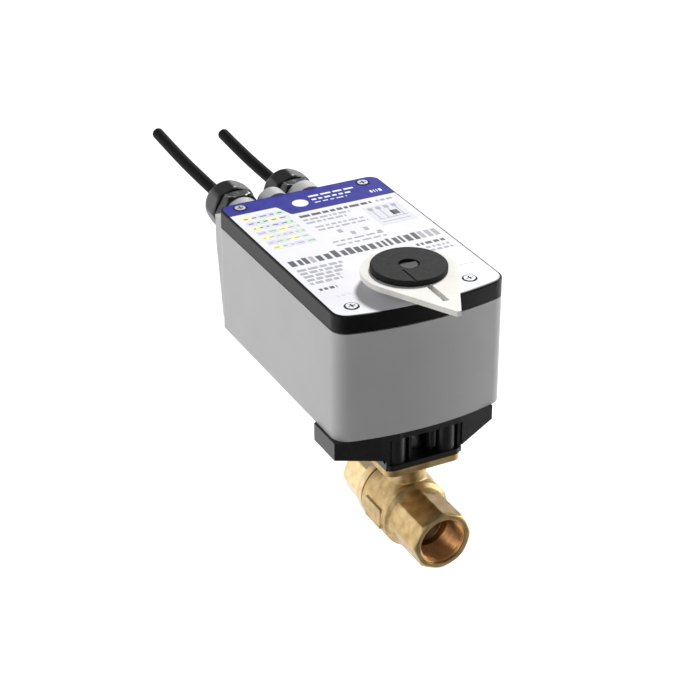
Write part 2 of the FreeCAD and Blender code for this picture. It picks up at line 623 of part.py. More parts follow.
def hump_prism(left, right, y0, inset):
    low = HOUSING_Z + HUMP_BASE + inset
    shoulder = GLAND_Z - HUMP_SHOULDER
    rear = STEM_Y + CASE_REAR
    corners = [(y0, low), (rear + HUMP_DEPTH - inset, low), (GLAND_Y - inset, shoulder)]
    top = GLAND_Z + 4.0 if inset == 0 else shoulder
    corners += [(GLAND_Y - inset, top), (y0, top)] if inset == 0 else [(y0, shoulder)]
    points = [V(left, y, z) for y, z in corners]
    face = Part.Face(Part.makePolygon(points + [points[0]]))
    return face.extrude(V(right - left, 0, 0))


def make_lid():
    outer = case_block(0.0, LID_Z, LID_TOP)
    top_rim = [e for e in outer.Edges if e.BoundBox.ZMin > LID_TOP - 0.01]
    outer = outer.makeFillet(1.0, top_rim)
    shell = outer.cut(case_block(WALL, LID_Z - 1, LID_TOP - LID_TOP_THICK))
    shell = shell.cut(case_block(LABEL_INSET, LID_TOP - LABEL_THICK, LID_TOP + 1))
    pieces = [shell]
    head_z = LID_TOP - LID_SCREW_HEAD
    holes = [rod(BUSH_R, LID_Z, LID_TOP + 1, 0, STEM_Y)]
    for x, y in LID_SCREW_SPOTS:
        x, y = at_stem(x, y)
        pieces.append(rod(LID_POST_R + 0.6, LID_Z, LID_TOP - LID_TOP_THICK + 0.5, x, y))
        holes.append(rod(LID_SCREW_R + 0.2, LID_Z - 1, LID_TOP, x, y))
        holes.append(rod(LID_SCREW_HEAD_R + 0.2, head_z, LID_TOP + 1, x, y))
    for x in GLAND_SPOTS:
        holes.append(rod_y(CABLE_R + 0.3, STEM_Y + CASE_REAR - 6, STEM_Y + CASE_REAR + 2, x, GLAND_Z))
    return less(joined(pieces), holes)


def make_lid_gasket():
    ring = case_block(0.9, RIM_Z, LID_Z).cut(case_block(WALL, RIM_Z - 1, LID_Z + 1))
    slots = [rod_y(CABLE_R + 0.3, STEM_Y + CASE_REAR - 6, STEM_Y + CASE_REAR + 2, x, GLAND_Z)
             for x in GLAND_SPOTS]
    return less(ring, slots)


def make_label():
    sheet = case_block(LABEL_INSET + 0.15, LID_TOP - LABEL_THICK, LID_TOP)
    holes = [rod(BUSH_FLANGE_R + 0.3, LID_TOP - 1, LID_TOP + 1, 0, STEM_Y)]
    holes += [rod(LABEL_HOLE_R, LID_TOP - 1, LID_TOP + 1, *at_stem(x, y)) for x, y in LID_SCREW_SPOTS]
    return less(sheet, holes)


def make_lid_screws():
    screws = []
    head_z = LID_TOP - LID_SCREW_HEAD
    for x, y in LID_SCREW_SPOTS:
        x, y = at_stem(x, y)
        head = rod(LID_SCREW_HEAD_R, head_z, head_z + LID_SCREW_HEAD + 0.3, x, y)
        shank = rod(LID_SCREW_R, RIM_Z - LID_POST_DEPTH + 5, head_z + 1, x, y)
        cross = [box(x - 2, x + 2, y - 0.4, y + 0.4, LID_TOP - 0.9, LID_TOP + 1),
                 box(x - 0.4, x + 0.4, y - 2, y + 2, LID_TOP - 0.9, LID_TOP + 1)]
        screws.append(less(joined([head, shank]), cross))
    return Part.makeCompound(screws)


# --- output shaft and gear train ---

def make_output_shaft():
    shaft = rod(SHAFT_R, HOUSING_Z - 1.0, CAP_Z, 0, STEM_Y)
    head = rod(SHAFT_HEAD_R, LID_TOP + 0.9, POINTER_Z, 0, STEM_Y)
    socket = prism([(u, STEM_Y + v) for u, v in polygon_points(6, SHAFT_HEX, 30)],
                   HOUSING_Z - 2, HOUSING_Z - 1 + SHAFT_HEX_DEPTH)
    screw_hole = rod(1.63, CAP_Z - 14, CAP_Z + 1, 0, STEM_Y)
    clip_z = PLATE_TOP + 0.4
    groove = tube(SHAFT_R + 1, SHAFT_R - 0.8, clip_z - 0.05, clip_z + 1.05, 0, STEM_Y)
    return less(joined([shaft, head]), [socket, screw_hole, groove])


def make_drive_coupling():
    top = HOUSING_Z - 1 + SHAFT_HEX_DEPTH - 1
    core = prism([(u, STEM_Y + v) for u, v in polygon_points(6, SHAFT_HEX - 0.1, 30)], HOUSING_Z - 1.5, top)
    sleeve = rod(BUSH_R - 1.2, PAD_TOP + 0.8, HOUSING_Z - 1.5, 0, STEM_Y)
    half = STEM_SQUARE / 2 + 0.05
    socket = box(-half, half, STEM_Y - half, STEM_Y + half, PAD_TOP, PAD_TOP + STEM_SQUARE_LENGTH + 0.5)
    return joined([core, sleeve]).cut(socket)


def make_bush(z0, z1, flange_z0, flange_z1):
    sleeve = tube(BUSH_R, SHAFT_R + FIT, z0, z1, 0, STEM_Y)
    flange = tube(BUSH_FLANGE_R, SHAFT_R + FIT, flange_z0, flange_z1, 0, STEM_Y)
    return joined([sleeve, flange])


def make_sector_gear():
    pitch = 360.0 / OUTPUT_TEETH
    first = -int(round((90.0 + SECTOR_MARGIN) / pitch))
    count = int(round((STROKE + 2 * SECTOR_MARGIN) / pitch))
    outline = gear_outline(OUTPUT_TEETH, OUTPUT_MODULE, SECTOR_PHASE, first, count)
    web = prism([(0, 0)] + outline, GEAR_Z, GEAR_Z + SECTOR_THICK)
    window_r0, window_r1 = 17.0, 29.0
    window = tube(window_r1, window_r0, GEAR_Z - 1, GEAR_Z + SECTOR_THICK + 1)
    start = math.radians(-4.0)
    stop = math.radians(STROKE + 4.0)
    far = 60.0
    wedge = prism([(0, 0), (far * math.cos(start), far * math.sin(start)), (far, far),
                   (far * math.cos(stop), far * math.sin(stop))], GEAR_Z - 1, GEAR_Z + SECTOR_THICK + 1)
    spoke = box(-3, 3, 0, 40, GEAR_Z - 1, GEAR_Z + SECTOR_THICK + 1)
    spoke.rotate(V(0, 0, 0), V(0, 0, 1), -45.0)
    window = window.common(wedge).cut(spoke)
    web = web.cut(window)
    hub = rod(14.0, GEAR_Z, GEAR_Z + SECTOR_THICK + 2.0)
    solid = joined([web, hub]).cut(rod(SHAFT_R + 0.03, GEAR_Z - 1, GEAR_Z + 20))
    solid.translate(V(0, STEM_Y, 0))
    return solid


def make_end_stops():
    pins = []
    swing = math.degrees((STOP_R + 0.5) / STOP_RING_R) + SECTOR_MARGIN + 1.6
    for bearing in (-swing, 180.0 + swing):
        x, y = reach(0.0, STEM_Y, STOP_RING_R, bearing)
        pins.append(rod(STOP_R, FLOOR_Z, GEAR_Z + SECTOR_THICK, x, y))
    return Part.makeCompound(pins)


def make_gear_1():
    x, y = GEAR_1_XY
    pinion = gear(PINION_TEETH, OUTPUT_MODULE, PINION_1_PHASE, GEAR_Z - 0.5, WHEEL_1_Z, x, y)
    wheel = gear(GEAR_1_TEETH, GEAR_1_MODULE, WHEEL_1_PHASE, WHEEL_1_Z, WHEEL_1_Z + WHEEL_1_THICK, x, y)
    hub = rod(4.0, FLOOR_Z + 2.6, PLATE_Z - 0.5, x, y)
    return joined([pinion, wheel, hub]).cut(rod(AXLE_R + FIT, FLOOR_Z, PLATE_Z, x, y))


def make_gear_2():
    x, y = GEAR_2_XY
    pinion = gear(PINION_TEETH, GEAR_1_MODULE, PINION_2_PHASE, WHEEL_1_Z - 0.5, WHEEL_2_Z, x, y)
    wheel = gear(GEAR_2_TEETH, GEAR_2_MODULE, WHEEL_2_PHASE, WHEEL_2_Z, WHEEL_2_Z + WHEEL_2_THICK, x, y)
    hub = rod(3.2, FLOOR_Z + 2.6, PLATE_Z - 0.5, x, y)
    return joined([pinion, wheel, hub]).cut(rod(AXLE_R + FIT, FLOOR_Z, PLATE_Z, x, y))


def make_axle(xy):
    return rod(AXLE_R, FLOOR_Z - 1.5, PLATE_TOP + 0.8, *xy)


def make_spring_gear():
    x, y = SPRING_XY
    wheel = gear(SPRING_TEETH, OUTPUT_MODULE, SPRING_PHASE, GEAR_Z, GEAR_Z + SECTOR_THICK, x, y)
    shaft = rod(SPRING_SHAFT_R, FLOOR_Z - 0.8, PLATE_TOP + SPRING_CAGE_HEIGHT + 2.0, x, y)
    hub = rod(SPRING_HUB_R, PLATE_TOP + 0.5, PLATE_TOP + SPRING_CAGE_HEIGHT - 2.0, x, y)
    boss = rod(7.0, GEAR_Z, GEAR_Z + SECTOR_THICK + 2.0, x, y)
    return joined([wheel, shaft, hub, boss])


def make_spring_cage():
    x, y = SPRING_XY
    top = PLATE_TOP + SPRING_CAGE_HEIGHT
    wall = tube(SPRING_CAGE_R, SPRING_CAGE_R - 1.3, PLATE_TOP, top, x, y)
    cover = tube(SPRING_CAGE_R, SPRING_SHAFT_R + LOOSE, top - 1.3, top, x, y)
    return joined([wall, cover])


def make_return_spring():
    """A flat spiral strip: half turns whose radius grows by half a pitch each."""
    x, y = SPRING_XY
    z0, z1 = PLATE_TOP + 1.0, PLATE_TOP + SPRING_CAGE_HEIGHT - 2.3
    edges_in = []
    edges_out = []
    for k in range(2 * SPRING_TURNS):
        side = 1 if k % 2 == 0 else -1
        centre = x + (0 if k % 2 == 0 else SPRING_PITCH / 4 * 2)
        radius = SPRING_INNER_R + k * SPRING_PITCH / 2
        for edges, r in ((edges_in, radius), (edges_out, radius + SPRING_STRIP)):
            start = V(centre - side * r * -1, y, z0)
            middle = V(centre, y + side * r, z0)
            end = V(centre + side * r * -1, y, z0)
            edges.append(Part.Arc(start, middle, end).toShape())
    inner_start, outer_start = edges_in[0].Vertexes[0].Point, edges_out[0].Vertexes[0].Point
    inner_end, outer_end = edges_in[-1].Vertexes[-1].Point, edges_out[-1].Vertexes[-1].Point
    loop = edges_in + edges_out
    loop.append(Part.makeLine(inner_start, outer_start))
    loop.append(Part.makeLine(inner_end, outer_end))
    wire = Part.Wire(Part.sortEdges(loop)[0])
    return Part.Face(wire).extrude(V(0, 0, z1 - z0))


def plate_block():
    inset = WALL + 1.2
    block = case_block(inset, PLATE_Z, PLATE_TOP)
    rear = box(-60, 60, STEM_Y + 94, STEM_Y + 200, PLATE_Z - 1, PLATE_TOP + 1)
    return block.cut(rear)


def make_gear_plate():
    holes = [
        rod(SHAFT_R + LOOSE, PLATE_Z - 1, PLATE_TOP + 1, 0, STEM_Y),
        rod(AXLE_R, PLATE_Z - 1, PLATE_TOP + 1, *GEAR_1_XY),
        rod(AXLE_R, PLATE_Z - 1, PLATE_TOP + 1, *GEAR_2_XY),
        rod(SPRING_SHAFT_R + FIT, PLATE_Z - 1, PLATE_TOP + 1, *SPRING_XY),
        rod(MOTOR_SHAFT_R + 3.2, PLATE_Z - 1, PLATE_TOP + 1, *MOTOR_XY),
    ]
    holes += [rod(1.55, PLATE_Z - 1, PLATE_TOP + 1, *at_stem(x, y)) for x, y in PILLAR_SPOTS]
    return less(plate_block(), holes)


def make_plate_pillars():
    pillars = [tube(PILLAR_R, 1.5, FLOOR_Z, PLATE_Z, *at_stem(x, y)) for x, y in PILLAR_SPOTS]
    return Part.makeCompound(pillars)


def make_plate_screws():
    screws = []
    for x, y in PILLAR_SPOTS:
        x, y = at_stem(x, y)
        head = rod(2.8, PLATE_TOP, PLATE_TOP + 2.0, x, y)
        shank = rod(1.47, PLATE_Z - 12, PLATE_TOP + 1, x, y)
        screws.append(joined([head, shank]))
    return Part.makeCompound(screws)


def make_motor_can():
    x, y = MOTOR_XY
    top = PLATE_TOP + MOTOR_HEIGHT
    can = tube(MOTOR_R, MOTOR_R - 1.2, PLATE_TOP, top, x, y)
    base = tube(MOTOR_R, MOTOR_SHAFT_R + FIT, PLATE_TOP, PLATE_TOP + 1.5, x, y)
    cover = tube(MOTOR_R, MOTOR_SHAFT_R + FIT, top - 1.5, top, x, y)
    return joined([can, base, cover])


def make_motor_stator():
    x, y = MOTOR_XY
    return tube(MOTOR_R - 1.4, 9.6, PLATE_TOP + 2.5, PLATE_TOP + MOTOR_HEIGHT - 2.5, x, y)


def make_motor_rotor():
    x, y = MOTOR_XY
    magnet = rod(9.0, PLATE_TOP + 3.0, PLATE_TOP + MOTOR_HEIGHT - 3.0, x, y)
    shaft = rod(MOTOR_SHAFT_R, WHEEL_2_Z - 0.5, PLATE_TOP + MOTOR_HEIGHT + 0.8, x, y)
    return joined([magnet, shaft])


def make_motor_pinion():
    x, y = MOTOR_XY
    pinion = gear(PINION_TEETH, GEAR_2_MODULE, MOTOR_PHASE, WHEEL_2_Z - 0.5, PLATE_Z + 0.6, x, y)
    return pinion.cut(rod(MOTOR_SHAFT_R, WHEEL_2_Z - 1, PLATE_TOP, x, y))


def make_shaft_clip():
    z0 = PLATE_TOP + 0.4
    ring = tube(SHAFT_R + 2.4, SHAFT_R - 0.8, z0, z0 + 1.0, 0, STEM_Y)
    mouth = box(-4.5, 4.5, STEM_Y - 20, STEM_Y - 4.0, z0 - 1, z0 + 2)
    return ring.cut(mouth)


# --- position switch ---

def make_switch_cam():
    z0 = PLATE_TOP + 4.0
    disc = rod(CAM_R, z0, z0 + 4.0, 0, STEM_Y)
    lobe = rod(CAM_LOBE_R, z0, z0 + 4.0, 0, STEM_Y)
    far = 30.0
    corners = [(0, STEM_Y)]
    corners += [reach(0.0, STEM_Y, far, bearing) for bearing in (-55.0, -20.0, 15.0)]
    lobe = lobe.common(prism(corners, z0 - 1, z0 + 5))
    return joined([disc, lobe]).cut(rod(SHAFT_R + 0.03, z0 - 1, z0 + 5, 0, STEM_Y))


SWITCH_X = 25.0
SWITCH_Y = STEM_Y - 9.0


def make_micro_switch():
    z0 = PLATE_TOP + 0.3
    body = box(SWITCH_X, SWITCH_X + 8.0, SWITCH_Y + 3.5, SWITCH_Y + 23.5, z0, z0 + 11.0)
    button = box(SWITCH_X - 1.0, SWITCH_X + 0.5, SWITCH_Y + 17.0, SWITCH_Y + 19.0, z0 + 4.5, z0 + 7.5)
    terminals = [box(SWITCH_X + 8.0, SWITCH_X + 11.0, SWITCH_Y + y, SWITCH_Y + y + 3.0, z0 + 5.0, z0 + 5.8)
                 for y in (6.0, 12.0, 18.0)]
    return joined([body, button] + terminals)


def make_switch_lever():
    z0 = PLATE_TOP + 4.3
    blade = box(SWITCH_X - 4.0, SWITCH_X - 3.4, SWITCH_Y + 2.0, SWITCH_Y + 22.0, z0, z0 + 4.0)
    roller = rod(3.2, z0, z0 + 4.0, SWITCH_X - 6.9, SWITCH_Y + 20.5)
    eye = rod(1.6, z0, z0 + 4.0, SWITCH_X - 3.0, SWITCH_Y + 1.4)
    pin_hole = rod(0.75, z0 - 1, z0 + 5, SWITCH_X - 3.0, SWITCH_Y + 1.4)
    return joined([blade, roller, eye]).cut(pin_hole)


def make_lever_pin():
    z0 = PLATE_TOP
    return rod(0.7, z0, z0 + 9.5, SWITCH_X - 3.0, SWITCH_Y + 1.4)


# --- electronics ---

BOARD_Z = FLOOR_Z + BOARD_GAP
BOARD_Y0 = STEM_Y + 97.0
STANDOFF_SPOTS = ((-40.0, 99.5), (40.0, 99.5), (-22.0, 121.5), (22.0, 121.5))


def make_circuit_board():
    board = box(-43.5, 43.5, BOARD_Y0, BOARD_Y0 + BOARD_DEPTH, BOARD_Z, BOARD_Z + BOARD_THICK)
    z0, z1 = BOARD_Z - 1, BOARD_Z + 3
    notches = [rod(LID_POST_R + 1.5, z0, z1, *at_stem(x, y)) for x, y in LID_SCREW_SPOTS[:2]]
    corners = [box(*sorted((side * 37.0, side * 50.0)), STEM_Y + 119.0, STEM_Y + 140.0, z0, z1)
               for side in (-1, 1)]
    holes = [rod(1.6, BOARD_Z - 1, BOARD_Z + 3, *at_stem(x, y)) for x, y in STANDOFF_SPOTS]
    return less(board, notches + corners + holes)


def make_board_standoffs():
    posts = []
    for x, y in STANDOFF_SPOTS:
        x, y = at_stem(x, y)
        post = rod(3.0, FLOOR_Z, BOARD_Z, x, y)
        peg = rod(1.5, BOARD_Z - 1, BOARD_Z + BOARD_THICK + 1.0, x, y)
        posts.append(joined([post, peg]))
    return Part.makeCompound(posts)


def make_transformer():
    z0 = BOARD_Z + BOARD_THICK
    core = box(-22, -3, BOARD_Y0 + 2, BOARD_Y0 + 15, z0, z0 + 14)
    coil = box(-20, -5, BOARD_Y0 + 0.5, BOARD_Y0 + 16.5, z0 + 2.5, z0 + 11.5)
    return joined([core, coil])


def make_capacitors():
    z0 = BOARD_Z + BOARD_THICK
    return Part.makeCompound([rod(4.0, z0, z0 + 12.0, x, BOARD_Y0 + 8.0) for x in (2.0, 12.0)])


def make_control_chip():
    z0 = BOARD_Z + BOARD_THICK
    return box(20, 32, BOARD_Y0 + 4, BOARD_Y0 + 14, z0, z0 + 1.8)


def make_terminal_blocks():
    z0 = BOARD_Z + BOARD_THICK
    blocks = []
    for x in GLAND_SPOTS:
        block = box(x - 7, x + 7, BOARD_Y0 + 14, BOARD_Y0 + 22, z0, z0 + 9)
        screws = [rod(1.4, z0 + 7.5, z0 + 10, x + dx, BOARD_Y0 + 18) for dx in (-4.5, 0.0, 4.5)]
        blocks.append(less(block, screws))
    return Part.makeCompound(blocks)


# --- pointer ---

def make_pointer():
    z0, z1 = POINTER_Z, POINTER_Z + POINTER_THICK
    disc = rod(POINTER_R, z0, z1)
    touch = math.asin((POINTER_R - 1.2) / POINTER_REACH)
    tx, ty = POINTER_R * math.cos(touch), -POINTER_R * math.sin(touch)
    arm = prism([(-tx, ty), (tx, ty), (1.2, -POINTER_REACH), (-1.2, -POINTER_REACH)], z0, z1)
    half = POINTER_SLOT_WIDTH / 2
    slot = box(-half, half, -POINTER_SLOT[1], -POINTER_SLOT[0], z0 - 1, z1 + 1)
    solid = joined([disc, arm]).cut(slot)
    solid = solid.cut(rod(SHAFT_R + 0.03, z0 - 1, z1 + 1))
    solid.translate(V(0, STEM_Y, 0))
    return solid


def make_pointer_cap():
    z0, z1 = CAP_Z, CAP_Z + CAP_HEIGHT
    disc = rod(CAP_R, z0, z1, 0, STEM_Y)
    disc = disc.makeFillet(CAP_EDGE_R, [e for e in disc.Edges if e.BoundBox.ZMin > z1 - 0.01])
    recess = rod(CAP_RECESS_R, z1 - CAP_RECESS_DEPTH, z1 + 1, 0, STEM_Y)
    line = box(-6.6, -5.6, STEM_Y - 19.0, STEM_Y - 4.5, z1 - 0.5, z1 + 1)
    hole = rod(1.8, z0 - 1, z1 + 1, 0, STEM_Y)
    return less(disc, [recess, line, hole])


def make_cap_screw():
    floor_z = CAP_Z + CAP_HEIGHT - CAP_RECESS_DEPTH
    head = rod(4.6, floor_z, floor_z + 1.0, 0, STEM_Y)
    flat = box(-6, 6, STEM_Y + 1.6, STEM_Y + 6, floor_z, floor_z + 2)
    shank = rod(1.6, CAP_Z - 12, floor_z + 0.5, 0, STEM_Y)
    return joined([head.cut(flat), shank])


# --- cable glands and cables ---

def make_gland_body(x):
    hexagon = bar_y(6, GLAND_HEX, 30.0, GLAND_Y, GLAND_Y + GLAND_HEX_LENGTH, x, GLAND_Z)
    thread = rod_y(GLAND_THREAD_R, STEM_Y + CASE_REAR + 0.8, GLAND_Y + 1, x, GLAND_Z)
    collar = rod_y(10.0, GLAND_Y, GLAND_Y + GLAND_HEX_LENGTH + 7.0, x, GLAND_Z)
    solid = joined([hexagon, thread, collar])
    seal_room = rod_y(7.0, GLAND_Y + GLAND_HEX_LENGTH, GLAND_Y + 40, x, GLAND_Z)
    return less(solid, [rod_y(CABLE_R + 0.3, GLAND_Y - 20, GLAND_Y + 40, x, GLAND_Z), seal_room])


def make_gland_nut(x):
    y0 = GLAND_Y + GLAND_HEX_LENGTH + 0.3
    body_end = y0 + GLAND_NUT_LENGTH - 6.0
    ribs = bar_y(8, 2 * GLAND_NUT_R * math.cos(math.pi / 8), 22.5, y0, body_end, x, GLAND_Z)
    foot = V(x, body_end, GLAND_Z)
    dome = Part.makeCone(GLAND_NUT_R - 0.6, GLAND_TIP_R, GLAND_TIP_Y - body_end, foot, V(0, 1, 0))
    inside = rod_y(10.1, y0 - 1, y0 + 8.5, x, GLAND_Z)
    bore = rod_y(CABLE_R + 0.1, y0 - 1, GLAND_TIP_Y + 1, x, GLAND_Z)
    return less(joined([ribs, dome]), [inside, bore])


def make_gland_seals():
    y0 = GLAND_Y + GLAND_HEX_LENGTH + 0.2
    return Part.makeCompound([tube_y(6.8, CABLE_R + 0.1, y0, y0 + 7.6, x, GLAND_Z) for x in GLAND_SPOTS])


def make_inner_cables():
    y0 = BOARD_Y0 + 24.0
    return Part.makeCompound([rod_y(CABLE_R, y0, GLAND_TIP_Y, x, GLAND_Z) for x in GLAND_SPOTS])


def cable_tube(points, radius):
    """A tube along straight runs joined by tangent arcs."""
    corners = [V(*p) for p in points]
    edges = []
    start = corners[0]
    for before, here, after in zip(corners, corners[1:], corners[2:]):
        back = (before - here).normalize()
        ahead = (after - here).normalize()
        turn = math.pi - back.getAngle(ahead)
        shorter = min((before - here).Length, (after - here).Length)
        setback = 0.45 * shorter
        bend_r = setback / math.tan(turn / 2)
        tangent_in = here + back * setback
        tangent_out = here + ahead * setback
        bisector = (back + ahead).normalize()
        middle = here + bisector * (bend_r / math.cos(turn / 2) - bend_r)
        edges.append(Part.LineSegment(start, tangent_in).toShape())
        edges.append(Part.Arc(tangent_in, middle, tangent_out).toShape())
        start = tangent_out
    edges.append(Part.LineSegment(start, corners[-1]).toShape())
    path = Part.Wire(edges)
    section = Part.Wire(Part.makeCircle(radius, corners[0], V(0, 1, 0)))
    return path.makePipeShell([section], True, False)


def make_cable(index):
    x = GLAND_SPOTS[index]
    points = [(x + dx, GLAND_TIP_Y + dy, GLAND_Z + dz) for dx, dy, dz in CABLE_POINTS[index]]
    return cable_tube(points, CABLE_R)


def build():
    parts["valve_body"] = make_valve_body()
    parts["end_cap"] = make_end_cap()
    parts["body_seal"] = make_body_seal()
    parts["front_seat"] = make_seat(-1)
    parts["rear_seat"] = make_seat(1)
    parts["ball"] = make_ball()
    parts["valve_stem"] = make_valve_stem()
    parts["stem_o_rings"] = make_stem_o_rings()
    parts["stem_washer"] = make_stem_washer()
    parts["adapter_base"] = make_adapter_base()
    parts["pad_screws"] = make_pad_screws()
    parts["adapter_screws"] = make_adapter_screws()
    parts["housing"] = make_housing()
    parts["lid"] = make_lid()
    parts["lid_gasket"] = make_lid_gasket()
    parts["label"] = make_label()
    parts["lid_screws"] = make_lid_screws()
    parts["output_shaft"] = make_output_shaft()
    parts["drive_coupling"] = make_drive_coupling()
    parts["lower_bush"] = make_bush(HOUSING_Z, FLOOR_Z + 2.0, FLOOR_Z, FLOOR_Z + 2.0)
    parts["upper_bush"] = make_bush(LID_TOP - LID_TOP_THICK, LID_TOP + 0.5, LID_TOP, LID_TOP + 0.5)
    parts["sector_gear"] = make_sector_gear()
    parts["end_stops"] = make_end_stops()
    parts["gear_1"] = make_gear_1()
    parts["gear_2"] = make_gear_2()
    parts["axle_1"] = make_axle(GEAR_1_XY)
    parts["axle_2"] = make_axle(GEAR_2_XY)
    parts["spring_gear"] = make_spring_gear()
    parts["spring_cage"] = make_spring_cage()
    parts["return_spring"] = make_return_spring()
    parts["gear_plate"] = make_gear_plate()
    parts["plate_pillars"] = make_plate_pillars()
    parts["plate_screws"] = make_plate_screws()
    parts["motor_can"] = make_motor_can()
    parts["motor_stator"] = make_motor_stator()
    parts["motor_rotor"] = make_motor_rotor()
    parts["motor_pinion"] = make_motor_pinion()
    parts["shaft_clip"] = make_shaft_clip()
    parts["switch_cam"] = make_switch_cam()
    parts["micro_switch"] = make_micro_switch()
    parts["switch_lever"] = make_switch_lever()
    parts["lever_pin"] = make_lever_pin()
    parts["circuit_board"] = make_circuit_board()
    parts["board_standoffs"] = make_board_standoffs()
    parts["transformer"] = make_transformer()
    parts["capacitors"] = make_capacitors()
    parts["control_chip"] = make_control_chip()
    parts["terminal_blocks"] = make_terminal_blocks()
    parts["pointer"] = make_pointer()
    parts["pointer_cap"] = make_pointer_cap()
    parts["cap_screw"] = make_cap_screw()
    for number, x in enumerate(GLAND_SPOTS, 1):
        parts[f"gland_body_{number}"] = make_gland_body(x)
        parts[f"gland_nut_{number}"] = make_gland_nut(x)
    parts["gland_seals"] = make_gland_seals()
    parts["inner_cables"] = make_inner_cables()
    parts["power_cable"] = make_cable(0)
    parts["switch_cable"] = make_cable(1)


build()
os.makedirs("parts", exist_ok=True)
for node, shape in parts.items():
    shape.exportStep(f"parts/{node}.step")
    print(node, len(shape.Solids), shape.isValid(), round(shape.Volume, 1))
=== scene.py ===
import math
import random

import bmesh
import bpy
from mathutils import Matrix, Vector


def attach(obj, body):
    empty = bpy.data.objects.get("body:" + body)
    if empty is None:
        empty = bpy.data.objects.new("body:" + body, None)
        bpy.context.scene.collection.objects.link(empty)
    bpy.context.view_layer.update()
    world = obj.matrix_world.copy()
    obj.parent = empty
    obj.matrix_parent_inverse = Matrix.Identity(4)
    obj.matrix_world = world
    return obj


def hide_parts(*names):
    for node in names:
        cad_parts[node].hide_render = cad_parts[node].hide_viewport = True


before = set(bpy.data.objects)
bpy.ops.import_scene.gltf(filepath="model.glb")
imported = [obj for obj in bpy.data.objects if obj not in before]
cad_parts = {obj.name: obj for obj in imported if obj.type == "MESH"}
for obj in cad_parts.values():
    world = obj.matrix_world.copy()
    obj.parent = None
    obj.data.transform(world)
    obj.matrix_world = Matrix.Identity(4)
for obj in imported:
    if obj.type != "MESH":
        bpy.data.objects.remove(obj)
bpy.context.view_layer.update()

# A motorised zone valve: a brass ball valve under a spring-return actuator.
# Metres. The pipe runs along Y from the front port's mouth at the origin, and the stem rises along Z.
MM = 0.001
STEM_Y = 41.8
LID_TOP = 132.5
REAR_PORT_Y = 83.6


def mm(*values):
    return Vector([value * MM for value in values])


# --- camera ---

SENSOR = 36.0
LENS = 101.6
CAMERA_SPOT = (-0.4359, -0.7430, 0.5893)
TOWARDS_CAMERA = Vector((-0.3995, -0.7793, 0.4828))

camera_data = bpy.data.cameras.new("camera")
camera_data.sensor_width = SENSOR
camera_data.lens = LENS
camera_data.clip_start = 0.05
camera_data.clip_end = 20.0
camera = bpy.data.objects.new("camera", camera_data)
camera.location = CAMERA_SPOT
camera.rotation_mode = "QUATERNION"
camera.rotation_quaternion = TOWARDS_CAMERA.to_track_quat("Z", "Y")
bpy.context.scene.collection.objects.link(camera)
bpy.context.scene.camera = camera
bpy.context.scene.view_settings.view_transform = "Standard"


# --- mesh helpers ---

def piece(name, bm, body, material, smooth_angle=30.0):
    """Turns mesh code into a named piece that rides on a body."""
    bmesh.ops.recalc_face_normals(bm, faces=bm.faces)
    mesh = bpy.data.meshes.new(name)
    bm.to_mesh(mesh)
    bm.free()
    made = bpy.data.objects.new(name, mesh)
    bpy.context.scene.collection.objects.link(made)
    mesh.materials.append(material)
    mesh.shade_smooth()
    mesh.set_sharp_from_angle(angle=math.radians(smooth_angle))
    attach(made, body)
    return made


def loft(bm, rings, closed_ends=True):
    """Joins rings of equal length, each a list of points in millimetres, into a skin."""
    loops = [[bm.verts.new(mm(*point)) for point in ring] for ring in rings]
    count = len(loops[0])
    for low, high in zip(loops, loops[1:]):
        for k in range(count):
            bm.faces.new((low[k], low[(k + 1) % count], high[(k + 1) % count], high[k]))
    if closed_ends:
        bm.faces.new(loops[0])
        bm.faces.new(loops[-1])
    return loops


def block(bm, x0, x1, y0, y1, z0, z1):
    """A closed box between corner coordinates in millimetres."""
    ring = ((x0, y0), (x1, y0), (x1, y1), (x0, y1))
    loft(bm, [[(x, y, z) for x, y in ring] for z in (z0, z1)])


def turned(bm, profile, x, z, sides=96, outline=None):
    """A closed solid of revolution about a line along Y. profile holds (y, radius) pairs and runs round
    the section, and outline may limit the radius at an angle."""
    rings = []
    for y, radius in profile:
        ring = []
        for k in range(sides):
            angle = 2 * math.pi * k / sides
            reach = radius if outline is None else min(radius, outline(angle))
            ring.append((x + reach * math.cos(angle), y, z + reach * math.sin(angle)))
        rings.append(ring)
    loft(bm, rings + rings[:1], closed_ends=False)
    bmesh.ops.remove_doubles(bm, verts=bm.verts, dist=1e-7)


def polygon_reach(sides, flats, turn):
    """The radius of a regular polygon, seen at an angle from its centre."""
    def reach(angle):
        step = 2 * math.pi / sides
        off = (angle - turn + step / 2) % step - step / 2
        return flats / 2 / math.cos(off)
    return reach


# --- cables ---
# The control points are the route of the cables, straight out of the glands and settling a little.

CABLE_R = 3.5
GLAND_X = (-30.0, 6.2)
GLAND_Z = 119.7
GLAND_Y = 182.3
GLAND_TIP_Y = 208.3
POWER_ROUTE = ((-30.0, 208.3, 119.7), (-30.0, 234.3, 119.7), (-28.7, 276.3, 119.3), (-25.8, 316.1, 118.8))
SWITCH_ROUTE = ((6.2, 208.3, 119.7), (6.2, 230.3, 119.7), (7.1, 264.3, 119.4), (9.4, 296.0, 119.0))


def cable(name, node, route):
    """A cable's sheath along a smooth line."""
    curve = bpy.data.curves.new(name, "CURVE")
    curve.dimensions = "3D"
    curve.bevel_depth = 1.0
    curve.bevel_resolution = 10
    curve.resolution_u = 24
    curve.use_fill_caps = True
    spline = curve.splines.new("NURBS")
    spline.points.add(len(route) - 1)
    for spot, point in zip(spline.points, route):
        spot.co = (*mm(*point), 1.0)
        spot.radius = CABLE_R * MM
    spline.order_u = 3
    spline.use_endpoint_u = True
    made = bpy.data.objects.new(name, curve)
    bpy.context.scene.collection.objects.link(made)
    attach(made, "casing")
    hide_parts(node)
    return made


